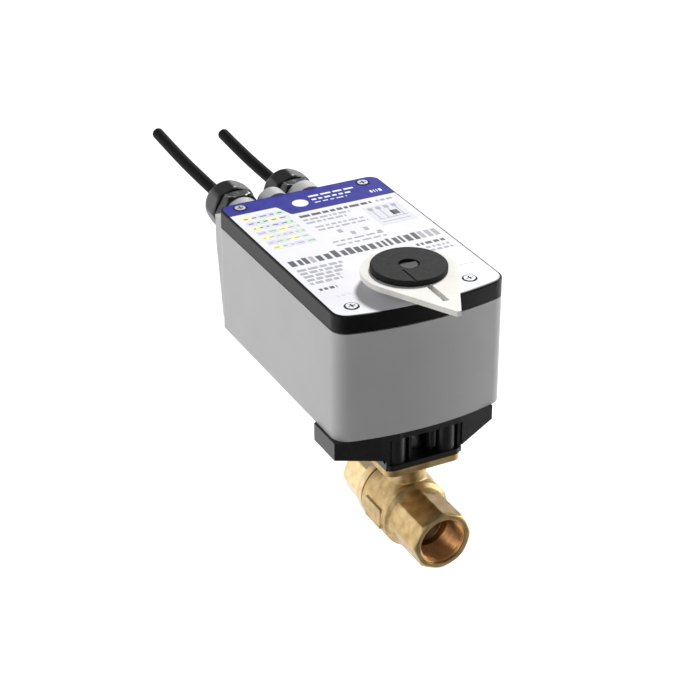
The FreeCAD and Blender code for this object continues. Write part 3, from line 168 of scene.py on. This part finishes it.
power_cable = cable("power_cable_sheath", "power_cable", POWER_ROUTE)
switch_cable = cable("switch_cable_sheath", "switch_cable", SWITCH_ROUTE)


# --- materials ---

def colour(code):
    """An sRGB hex colour as linear values."""
    parts = [int(code[k:k + 2], 16) / 255 for k in (1, 3, 5)]
    return (*[c / 12.92 if c <= 0.04045 else ((c + 0.055) / 1.055) ** 2.4 for c in parts], 1.0)


def every(size):
    """The scale of a texture whose features come every so many millimetres."""
    return 1 / (size * MM)


def put(tree, kind, inputs=None, **settings):
    """Adds a node with its settings, and fills or links its inputs."""
    made = tree.nodes.new(kind)
    for key, value in settings.items():
        setattr(made, key, value)
    for key, value in (inputs or {}).items():
        if isinstance(value, bpy.types.NodeSocket):
            tree.links.new(value, made.inputs[key])
        else:
            made.inputs[key].default_value = value
    return made


def finish(name, light, dark, blotch, roughness, grain, depth, pattern=None, **sockets):
    """A material whose colour drifts between two tones over blotch millimetres. Its roughness runs
    between two values and its surface has a grain of that size and depth in millimetres."""
    material = bpy.data.materials.new(name)
    material.use_nodes = True
    tree = material.node_tree
    tree.nodes.clear()
    place = put(tree, "ShaderNodeTexCoord").outputs["Object"]
    drift = put(tree, "ShaderNodeTexNoise", {"Vector": place, "Scale": every(blotch), "Detail": 5.0})
    share = put(tree, "ShaderNodeMapRange",
                {"Value": drift.outputs["Fac"], "From Min": 0.35, "From Max": 0.65})
    tone = put(tree, "ShaderNodeMix", {0: share.outputs[0], 6: colour(light), 7: colour(dark)},
               data_type="RGBA").outputs[2]
    fine = put(tree, "ShaderNodeTexNoise", {"Vector": place, "Scale": every(grain), "Detail": 3.0})
    height = fine.outputs["Fac"]
    gloss = put(tree, "ShaderNodeMapRange", {"Value": height, "From Min": 0.3, "From Max": 0.7,
                                             "To Min": roughness[0], "To Max": roughness[1]}).outputs[0]
    if pattern is not None:
        tone, gloss, height = pattern(tree, place, tone, gloss, height)
    bump = put(tree, "ShaderNodeBump", {"Height": height, "Strength": 1.0, "Distance": depth * MM})
    links = {"Base Color": tone, "Roughness": gloss, "Normal": bump.outputs["Normal"]}
    links.update({key.replace("_", " "): value for key, value in sockets.items()})
    shader = put(tree, "ShaderNodeBsdfPrincipled", links)
    put(tree, "ShaderNodeOutputMaterial", {"Surface": shader.outputs[0]})
    return material


WAVES_PER_UNIT = 20 / math.pi   # the wave texture's own bands per unit of its scale


def bands(axis, pitch, dark, share):
    """A pattern of fine lines across an axis, such as laminations or a winding's turns."""
    def pattern(tree, place, tone, gloss, height):
        wave = put(tree, "ShaderNodeTexWave",
                   {"Vector": place, "Scale": every(pitch) / WAVES_PER_UNIT, "Distortion": 0.3,
                    "Detail": 1.0}, bands_direction=axis)
        line = put(tree, "ShaderNodeMapRange",
                   {"Value": wave.outputs["Fac"], "From Min": share, "From Max": 0.0})
        mixed = put(tree, "ShaderNodeMix", {0: line.outputs[0], 6: tone, 7: colour(dark)},
                    data_type="RGBA")
        return mixed.outputs[2], gloss, wave.outputs["Fac"]
    return pattern


def cells(size, dark):
    """A pattern of flat crystals, such as the spangle of galvanised sheet."""
    def pattern(tree, place, tone, gloss, height):
        crystal = put(tree, "ShaderNodeTexVoronoi", {"Vector": place, "Scale": every(size)})
        share = put(tree, "ShaderNodeSeparateColor", {"Color": crystal.outputs["Color"]}).outputs[0]
        mixed = put(tree, "ShaderNodeMix", {0: share, 6: tone, 7: colour(dark)}, data_type="RGBA")
        rough = put(tree, "ShaderNodeMapRange", {"Value": share, "To Min": 0.25, "To Max": 0.45})
        return mixed.outputs[2], rough.outputs[0], height
    return pattern


def tracks(tree, place, tone, gloss, height):
    """Copper tracks under the solder mask of a circuit board."""
    track = put(tree, "ShaderNodeTexBrick",
                {"Vector": place, "Scale": every(1.0), "Mortar Size": 0.25, "Brick Width": 9.0,
                 "Row Height": 2.5, "Mortar Smooth": 0.1})
    mixed = put(tree, "ShaderNodeMix", {0: track.outputs["Fac"], 6: tone, 7: colour("#2F7A45")},
                data_type="RGBA")
    return mixed.outputs[2], gloss, track.outputs["Fac"]


TAB_X = (-20.5, -15.5)       # where the band's edge sweeps from the tab to the middle
BAND_EDGE = (116.0, 103.8)   # the edge's distance behind the stem, beside the tab and in the middle


def blue_band(tree, place, tone, gloss, height):
    """The label's blue rear band, whose front edge steps back round a white tab at the left."""
    axes = put(tree, "ShaderNodeSeparateXYZ", {"Vector": place})
    edge = put(tree, "ShaderNodeMapRange",
               {"Value": axes.outputs["X"], "From Min": TAB_X[0] * MM, "From Max": TAB_X[1] * MM,
                "To Min": (STEM_Y + BAND_EDGE[0]) * MM, "To Max": (STEM_Y + BAND_EDGE[1]) * MM},
               interpolation_type="SMOOTHSTEP")
    beyond = put(tree, "ShaderNodeMath", {0: axes.outputs["Y"], 1: edge.outputs[0]},
                 operation="GREATER_THAN")
    mixed = put(tree, "ShaderNodeMix", {0: beyond.outputs[0], 6: tone, 7: colour("#10128A")},
                data_type="RGBA")
    return mixed.outputs[2], gloss, height


# Hot-forged brass, shot-blasted: a yellow metal, satin, with a fine peened grain. The grain is 0.5 mm,
# twice the real grit, so that it shows.
forged_brass = finish("forged_brass", "#C9AF80", "#A88D5E", 6.0, (0.32, 0.48), 0.5, 0.03, Metallic=1.0)
# Turned brass: paler and smoother, with the lathe's fine rings across the pipe axis.
turned_brass = finish("turned_brass", "#DCC79C", "#CCB384", 4.0, (0.26, 0.38), 0.3, 0.012, Metallic=1.0)
# Cut thread in brass, coloured brighter and more orange than the brass elsewhere: painted warm light,
# standing in for the light its flanks throw on each other.
thread_brass_painted_bounce = finish("thread_brass_painted_bounce", "#E6AE74", "#D2955C", 3.0, (0.26, 0.38), 0.6, 0.004,
                          Metallic=1.0)
# Hard chrome on the ball: a mirror with the faintest polish marks.
hard_chrome = finish("hard_chrome", "#D9DADC", "#CFD1D4", 8.0, (0.05, 0.09), 0.2, 0.001, Metallic=1.0)
# Black-oxide steel of the cap's screw: dark, softly lit.
black_oxide_steel = finish("black_oxide_steel", "#2E2E30", "#262628", 2.0, (0.35, 0.5), 0.3, 0.006,
                           Metallic=0.6)
# Zinc-plated steel: cool, satin, slightly cloudy.
zinc_plate = finish("zinc_plate", "#C9CBCF", "#B4B7BC", 2.5, (0.24, 0.4), 0.3, 0.006, Metallic=1.0)
# Galvanised sheet: flat spangle cells of differing grey.
galvanised_sheet = finish("galvanised_sheet", "#BFC2C5", "#AEB1B5", 6.0, (0.3, 0.45), 0.4, 0.004,
                          pattern=cells(3.0, "#9EA2A6"), Metallic=1.0)
# Blued spring strip: dark blue-grey temper colour.
blued_strip = finish("blued_strip", "#5A6172", "#474C5A", 5.0, (0.2, 0.32), 0.3, 0.003, Metallic=1.0)
# Moulded light grey ABS: spark-eroded satin texture, drawn 0.6 mm coarse so that it shows.
grey_abs = finish("grey_abs", "#A9A9AA", "#A6A6A7", 30.0, (0.4, 0.5), 0.6, 0.012, IOR=1.54)
# Moulded black ABS of the lid: satin, deep black.
black_abs = finish("black_abs", "#111112", "#0C0C0D", 10.0, (0.3, 0.4), 0.5, 0.008,
                   IOR=1.54, Specular_IOR_Level=0.14)
# Glass-filled nylon of the adapter and glands: black with a slight fibre mottle.
black_nylon = finish("black_nylon", "#141416", "#0D0D0F", 2.0, (0.26, 0.42), 0.4, 0.01,
                     IOR=1.53, Specular_IOR_Level=0.45)
# The pointer's cap, a charcoal moulding with a faint tooling texture.
charcoal_abs = finish("charcoal_abs", "#252526", "#1E1E1F", 3.0, (0.5, 0.62), 0.5, 0.02,
                      IOR=1.54, Specular_IOR_Level=0.07)
# White acetal pointer: warm, waxy, nearly smooth.
white_acetal = finish("white_acetal", "#E2E0DB", "#DAD7D0", 12.0, (0.3, 0.38), 0.8, 0.006, IOR=1.48)
# Printed polyester film, semi-gloss, with its blue band.
label_film = finish("label_film", "#E4E4E9", "#DFDFE5", 18.0, (0.3, 0.36), 4.0, 0.001,
                    pattern=blue_band, IOR=1.5, Specular_IOR_Level=0.3)
# Natural PTFE seats: white, waxy.
natural_ptfe = finish("natural_ptfe", "#EDEDE8", "#E2E2DC", 5.0, (0.45, 0.55), 0.4, 0.004, IOR=1.35)
# Nitrile rubber: matt black with a powdery bloom.
nitrile_rubber = finish("nitrile_rubber", "#1C1C1C", "#262626", 2.0, (0.65, 0.8), 0.3, 0.008, IOR=1.52)
# Natural acetal gears and bushes: ivory, smooth.
natural_acetal = finish("natural_acetal", "#E4E1D6", "#D9D5C8", 6.0, (0.3, 0.4), 0.4, 0.004, IOR=1.48)
# PVC cable sheath: black, faintly drawn along its length.
pvc_sheath = finish("pvc_sheath", "#08080A", "#0D0D0E", 2.5, (0.5, 0.62), 0.8, 0.02,
                    IOR=1.53, Specular_IOR_Level=0.04)
# Circuit board: green solder mask over copper tracks.
solder_mask = finish("solder_mask", "#14502C", "#10452A", 4.0, (0.2, 0.3), 0.5, 0.01, pattern=tracks, IOR=1.5)
# Enamelled copper winding: turns of 0.4 mm wire.
copper_winding = finish("copper_winding", "#B8643A", "#9E4F2C", 3.0, (0.25, 0.35), 0.3, 0.05,
                        pattern=bands("Z", 0.4, "#5A2A16", 0.35), Metallic=1.0)
# Laminated core and tape of the transformer: sheets of 0.5 mm.
laminated_core = finish("laminated_core", "#3A3A3D", "#2C2C2E", 3.0, (0.35, 0.5), 0.3, 0.05,
                        pattern=bands("X", 0.5, "#161617", 0.35))
# Terminal block: pale grey nylon.
terminal_nylon = finish("terminal_nylon", "#B9BDB4", "#AEB2A9", 4.0, (0.4, 0.5), 0.5, 0.01, IOR=1.53)
# Moulded epoxy of the chip and the switch's case.
moulded_epoxy = finish("moulded_epoxy", "#222224", "#19191B", 2.0, (0.45, 0.6), 0.25, 0.01, IOR=1.55)

NODE_FINISH = {
    forged_brass: ("valve_body",),
    turned_brass: ("end_cap", "valve_stem", "motor_pinion"),
    hard_chrome: ("ball",),
    zinc_plate: ("pad_screws", "adapter_screws", "lid_screws", "output_shaft", "drive_coupling", "end_stops",
                 "axle_1", "axle_2", "plate_pillars", "plate_screws", "motor_can", "motor_rotor",
                 "switch_lever", "lever_pin"),
    black_oxide_steel: ("cap_screw",),
    galvanised_sheet: ("spring_cage", "gear_plate"),
    blued_strip: ("return_spring", "shaft_clip"),
    grey_abs: ("housing",),
    black_abs: ("lid", "switch_cam"),
    black_nylon: ("adapter_base", "gland_body_1", "gland_nut_1", "gland_body_2", "gland_nut_2"),
    charcoal_abs: ("pointer_cap",),
    white_acetal: ("pointer",),
    label_film: ("label",),
    natural_ptfe: ("body_seal", "front_seat", "rear_seat", "stem_washer"),
    nitrile_rubber: ("stem_o_rings", "lid_gasket", "gland_seals"),
    natural_acetal: ("lower_bush", "upper_bush", "sector_gear", "gear_1", "gear_2", "spring_gear",
                     "board_standoffs"),
    pvc_sheath: ("inner_cables", "power_cable", "switch_cable"),
    solder_mask: ("circuit_board",),
    copper_winding: ("motor_stator",),
    laminated_core: ("transformer",),
    terminal_nylon: ("terminal_blocks",),
    moulded_epoxy: ("micro_switch", "capacitors", "control_chip"),
}
for material, names in NODE_FINISH.items():
    for name in names:
        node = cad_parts[name]
        if not node.material_slots:
            node.data.materials.append(material)
        for held in node.material_slots:
            held.link = "OBJECT"
            held.material = material
for sheath in (power_cable, switch_cable):
    sheath.data.materials.append(pvc_sheath)


# --- brass: forged bodies with softened edges ---

def forging(name, node, material, voxel, passes):
    """A CAD solid's shape as a forging or casting leaves it, with every edge rounded over."""
    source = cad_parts[node].data.copy()
    made = bpy.data.objects.new(name, source)
    bpy.context.scene.collection.objects.link(made)
    weld = made.modifiers.new("weld", "WELD")
    weld.merge_threshold = 1e-6
    remesh = made.modifiers.new("remesh", "REMESH")
    remesh.mode = "VOXEL"
    remesh.voxel_size = voxel * MM
    soften = made.modifiers.new("soften", "SMOOTH")
    soften.factor = 0.5
    soften.iterations = passes
    graph = bpy.context.evaluated_depsgraph_get()
    mesh = bpy.data.meshes.new_from_object(made.evaluated_get(graph))
    made.modifiers.clear()
    made.data = mesh
    bpy.data.meshes.remove(source)
    mesh.materials.clear()
    mesh.materials.append(material)
    mesh.shade_smooth()
    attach(made, "casing")
    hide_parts(node)
    return made


forged_body = forging("forged_valve_body", "valve_body", forged_brass, 0.4, 4)
forged_cap = forging("forged_end_cap", "end_cap", turned_brass, 0.4, 4)

THREAD_MAJOR_R = 13.22
THREAD_MINOR_R = 12.06
THREAD_PITCH = 1.814


def port_thread(name, start, end):
    """The helical ridge of a pipe thread, a sleeve against the bore's wall."""
    sides = 90
    steps = int(abs(end - start) / THREAD_PITCH * 10)
    direction = 1 if end > start else -1
    inner = []
    for j in range(steps + 1):
        y = start + (end - start) * j / steps
        ring = []
        for k in range(sides):
            turn = (abs(y - start) / THREAD_PITCH + k / sides) % 1.0
            ridge = 1 - abs(2 * turn - 1)
            rise = min(1.0, max(0.0, 1.25 * ridge - 0.12))
            radius = THREAD_MAJOR_R - (THREAD_MAJOR_R - THREAD_MINOR_R) * rise
            lead = min(1.0, abs(y - start) / 1.2)
            radius = THREAD_MAJOR_R - (THREAD_MAJOR_R - radius) * lead
            angle = 2 * math.pi * k / sides * direction
            ring.append((radius * math.cos(angle), y, radius * math.sin(angle)))
        inner.append(ring)
    outer = []
    for ring, y in ((inner[-1], end), (inner[0], start)):
        scaled = []
        for p in ring:
            grow = (THREAD_MAJOR_R + 0.2) / math.hypot(p[0], p[2])
            scaled.append((p[0] * grow, y, p[2] * grow))
        outer.append(scaled)
    bm = bmesh.new()
    loft(bm, inner + outer + inner[:1], closed_ends=False)
    bmesh.ops.remove_doubles(bm, verts=bm.verts, dist=1e-8)
    # The thread's material carries painted warm bounce light in its colour.
    made = piece(name, bm, "casing", thread_brass_painted_bounce, 50.0)
    return made


port_thread("front_port_thread", 0.7, 17.6)
port_thread("rear_port_thread", REAR_PORT_Y - 0.7, REAR_PORT_Y - 17.6)


# --- cable glands ---

def smooth_nut(x, number):
    """The gland's domed cap nut, eight flats that run out into the dome."""
    start = GLAND_Y + 7.8
    dome = start + 10.5
    profile = [(start, 10.1), (start, 12.9), (start + 0.8, 13.7), (start + 1.6, 14.0), (dome - 2.0, 14.0)]
    for k in range(1, 11):
        angle = math.pi / 2 * k / 10
        along = dome - 2.0 + (GLAND_TIP_Y - dome + 1.2) * math.sin(angle)
        profile.append((along, 7.6 + 6.4 * math.cos(angle)))
    profile += [(GLAND_TIP_Y, 6.9), (GLAND_TIP_Y, 4.4), (GLAND_TIP_Y - 0.8, 3.6), (start + 8.8, 3.6)]
    profile.append((start + 8.8, 10.1))
    bm = bmesh.new()
    turned(bm, profile, x, GLAND_Z, 96, polygon_reach(8, 26.2, math.radians(22.5)))
    made = piece(f"gland_cap_nut_{number}", bm, "casing", black_nylon, 32.0)
    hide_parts(f"gland_nut_{number}")


def hex_body(x, number):
    """The gland's hexagon with chamfered corners, its neck and its thread into the housing."""
    start = GLAND_Y
    profile = [(start - 9.0, 3.9), (start - 9.0, 7.9), (start, 7.9), (start, 12.2), (start + 0.7, 13.0),
               (start + 1.2, 13.9), (start + 6.3, 13.9), (start + 6.8, 13.0), (start + 7.5, 12.2),
               (start + 7.5, 10.0), (start + 14.3, 10.0), (start + 14.3, 7.0), (start + 7.6, 7.0),
               (start + 7.6, 3.9)]
    bm = bmesh.new()
    turned(bm, profile, x, GLAND_Z, 96, polygon_reach(6, 24.0, math.radians(30.0)))
    made = piece(f"gland_hexagon_{number}", bm, "casing", black_nylon, 32.0)
    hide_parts(f"gland_body_{number}")


for number, x in enumerate(GLAND_X, 1):
    smooth_nut(x, number)
    hex_body(x, number)


# --- cable ends: cores flush with the cut sheath ---

CORE_COLOURS = (("brown", "#6B3A20"), ("blue", "#2D4E9A"), ("grey", "#8E9092"))


def cable_end(name, route):
    """Three insulated cores, seen in the cut end."""
    last, before = Vector(route[-1]), Vector(route[-2])
    along = (last - before).normalized()
    side = along.cross(Vector((0, 0, 1))).normalized()
    up = side.cross(along)
    for k, (core, code) in enumerate(CORE_COLOURS):
        tilt = 2 * math.pi * k / 3
        centre = last + (side * math.cos(tilt) + up * math.sin(tilt)) * 1.35
        bm = bmesh.new()
        rings = []
        for reach, radius in ((-1.0, 1.1), (0.10, 1.1), (0.16, 1.04), (0.16, 0.6), (0.22, 0.56)):
            ring = []
            for j in range(20):
                angle = 2 * math.pi * j / 20
                ring.append(centre + along * reach + (side * math.cos(angle) + up * math.sin(angle)) * radius)
            rings.append(ring)
        loft(bm, rings)
        core_piece = piece(f"{name}_{core}_core", bm, "casing", core_finish[core])


core_finish = {core: finish(f"{core}_core_pvc", code, code, 1.0, (0.35, 0.45), 0.3, 0.004, IOR=1.53)
               for core, code in CORE_COLOURS}
cable_end("power_cable", POWER_ROUTE)
cable_end("switch_cable", SWITCH_ROUTE)


# --- the label's print: generic bars, boxes and rows, in thin ink ---

INK_THICK = 0.03
DISC_X, DISC_Y = -5.6, 115    # centre of the plain disc on the blue band
DISC_R = 4.6
INKS = {"dark": "#4A4A50", "grey": "#A2A2A8", "pale": "#D4D4DC", "yellow": "#E6E6A8", "green": "#C2DCC4",
        "lilac": "#CFC9E8", "white": "#E9ECF4"}
ink_shapes = {ink: [] for ink in INKS}
draw = random.Random(11)


def bar(ink, x0, x1, y0, y1, layer=0):
    ink_shapes[ink].append((x0, x1, STEM_Y + y0, STEM_Y + y1, layer))


def row_of_marks(ink, x0, x1, y, height, longest, gap):
    """A row of short bars of uneven length."""
    x = x0
    while x < x1:
        length = draw.uniform(0.25, 1.0) * longest
        bar(ink, x, min(x + length, x1), y - height / 2, y + height / 2, 1)
        x += length + gap


for row, y in enumerate((112.0, 105.5, 99.0, 92.5, 86.0, 79.5, 73.0)):
    for column, x in enumerate((-43.5, -37.0, -30.5, -24.0)):
        tint = ("yellow", "green", "lilac", "pale")[(row * 2 + column * 3) % 4]
        bar(tint, x, x + 5.6, y - 5.4, y - 0.6)
    row_of_marks("dark" if row < 3 else "grey", -42.5, -18.5, y - 3.0, 1.0, 4.0, 2.2)
row_of_marks("dark", -14.0, 30.0, 98.5, 2.6, 7.0, 1.2)
row_of_marks("grey", -14.0, 14.0, 93.5, 1.8, 5.0, 1.2)
row_of_marks("grey", -14.0, 10.0, 89.5, 1.8, 5.0, 1.2)
row_of_marks("grey", 33.0, 43.0, 98.5, 2.0, 5.0, 1.2)
bar("pale", 21.5, 43.0, 68.5, 93.5)
for k in range(4):
    bar("grey", 23.5 + 4.8 * k, 26.3 + 4.8 * k, 88.0, 91.5, 1)
    bar("grey", 24.6 + 4.8 * k, 25.1 + 4.8 * k, 76.5, 88.0, 1)
for y in (72.0, 76.0):
    bar("grey", 23.5, 41.0, y, y + 0.5, 1)
bar("dark", 33.5, 38.0, 78.5, 84.0, 1)
for y in (83.0, 79.0, 62.0, 57.5):
    row_of_marks("grey", -12.0, 18.0, y, 1.6, 6.0, 1.4)
for x, y in ((-3.5, 71.0), (2.0, 66.0), (10.5, 67.5), (15.5, 61.0)):
    bar("grey", x, x + 2.6, y, y + 4.0)
x = -44.0
while x < 42.0:
    width = draw.uniform(1.6, 3.4)
    bar("dark" if draw.random() < 0.7 else "grey", x, x + width, 45.0, 45.0 + draw.uniform(6.0, 8.5))
    x += width + draw.uniform(0.9, 1.8)
for row, y in enumerate((39.5, 35.5, 31.5, 27.5, 23.5)):
    row_of_marks("grey", -44.0, -18.0 - 2 * row, y, 2.4, 6.0, 1.3)
row_of_marks("dark", -43.0, -33.0, 15.5, 2.4, 2.6, 1.2)
row_of_marks("pale", -38.0, -30.0, 5.5, 1.8, 4.0, 1.6)
row_of_marks("dark", 26.0, 43.0, 39.0, 2.6, 4.0, 1.2)
row_of_marks("grey", 29.0, 43.0, 34.0, 2.0, 3.0, 1.2)
row_of_marks("grey", 30.0, 43.0, 30.0, 2.0, 3.0, 1.2)
row_of_marks("pale", 30.0, 43.0, 8.0, 1.2, 4.0, 1.5)
row_of_marks("white", 2.0, 30.0, 120.5, 1.8, 7.0, 1.4)
row_of_marks("white", 2.0, 26.0, 116.0, 1.8, 6.0, 1.4)
row_of_marks("white", 2.0, 22.0, 112.0, 1.0, 5.0, 1.4)
row_of_marks("white", 36.0, 43.0, 111.0, 3.2, 2.0, 1.0)

for ink, shapes in ink_shapes.items():
    bm = bmesh.new()
    for x0, x1, y0, y1, layer in shapes:
        block(bm, x0, x1, y0, y1, LID_TOP - 0.05, LID_TOP + INK_THICK * (1 + layer))
    if ink == "white":
        rings = []
        for z in (LID_TOP - 0.05, LID_TOP + INK_THICK):
            ring = []
            for k in range(48):
                angle = math.pi * k / 24
                x = DISC_X + DISC_R * math.cos(angle)
                ring.append((x, STEM_Y + DISC_Y + DISC_R * math.sin(angle), z))
            rings.append(ring)
        loft(bm, rings)
    material = finish(f"{ink}_ink", INKS[ink], INKS[ink], 3.0, (0.3, 0.38), 0.6, 0.002, IOR=1.5)
    printed = piece(f"label_print_{ink}", bm, "casing", material)


# --- stage and light ---

def stage_plane(name, x0, x1, y0, y1, z, material):
    """A flat sheet that isn't part of the valve."""
    bm = bmesh.new()
    corners = [bm.verts.new((x, y, z)) for x, y in ((x0, y0), (x1, y0), (x1, y1), (x0, y1))]
    bm.faces.new(corners)
    mesh = bpy.data.meshes.new(name)
    bm.to_mesh(mesh)
    bm.free()
    made = bpy.data.objects.new(name, mesh)
    bpy.context.scene.collection.objects.link(made)
    mesh.materials.append(material)
    return made


def lamp(name, kind, spot, power, size=(0.0, 0.0), spread=0.0):
    """A light at a spot, turned to the object: a softbox, or a sun whose spread is in degrees."""
    data = bpy.data.lights.new(name, kind)
    data.energy = power
    if kind == "AREA":
        data.shape = "RECTANGLE"
        data.size, data.size_y = size
    else:
        data.angle = math.radians(spread)
    made = bpy.data.objects.new(name, data)
    made.location = spot
    made.rotation_mode = "QUATERNION"
    made.rotation_quaternion = (Vector(spot) - CENTRE).to_track_quat("Z", "Y")
    bpy.context.scene.collection.objects.link(made)


CENTRE = Vector((0.0, 0.10, 0.09))
pale_floor = finish("pale_floor_paper", "#F6F6F6", "#F3F3F3", 80.0, (0.75, 0.85), 2.0, 0.02)
flag_cloth = finish("flag_cloth", "#3A3A3A", "#363636", 10.0, (0.8, 0.9), 2.0, 0.02)
stage_plane("floor", -6.0, 6.0, -6.0, 6.0, -0.26, pale_floor)
# A dark cloth on the floor in front keeps the floor's light off the front faces. The camera doesn't see
# it, and it casts no shadow on the floor.
flag = stage_plane("front_flag", -0.9, 0.45, -1.7, -0.2, -0.255, flag_cloth)
flag.visible_camera = False
flag.visible_shadow = False
lamp("rear_key", "SUN", (1.0, 1.1, 1.6), 3.9, spread=14.0)
lamp("left_softbox", "AREA", (-1.1, 0.75, 0.42), 13.0, (3.0, 1.35))
lamp("right_softbox", "AREA", (1.3, -0.05, 0.35), 10.0, (0.8, 0.8))
lamp("rear_strip", "AREA", (1.1, 1.7, 0.28), 2.2, (1.0, 0.4))
lamp("front_fill", "AREA", (-0.9, -1.1, 0.25), 2.5, (0.5, 0.5))

world = bpy.data.worlds.new("studio")
world.use_nodes = True
world.node_tree.nodes.clear()
sky = put(world.node_tree, "ShaderNodeBackground", {"Color": colour("#FFFFFF"), "Strength": 0.17})
put(world.node_tree, "ShaderNodeOutputWorld", {"Surface": sky.outputs[0]})
bpy.context.scene.world = world
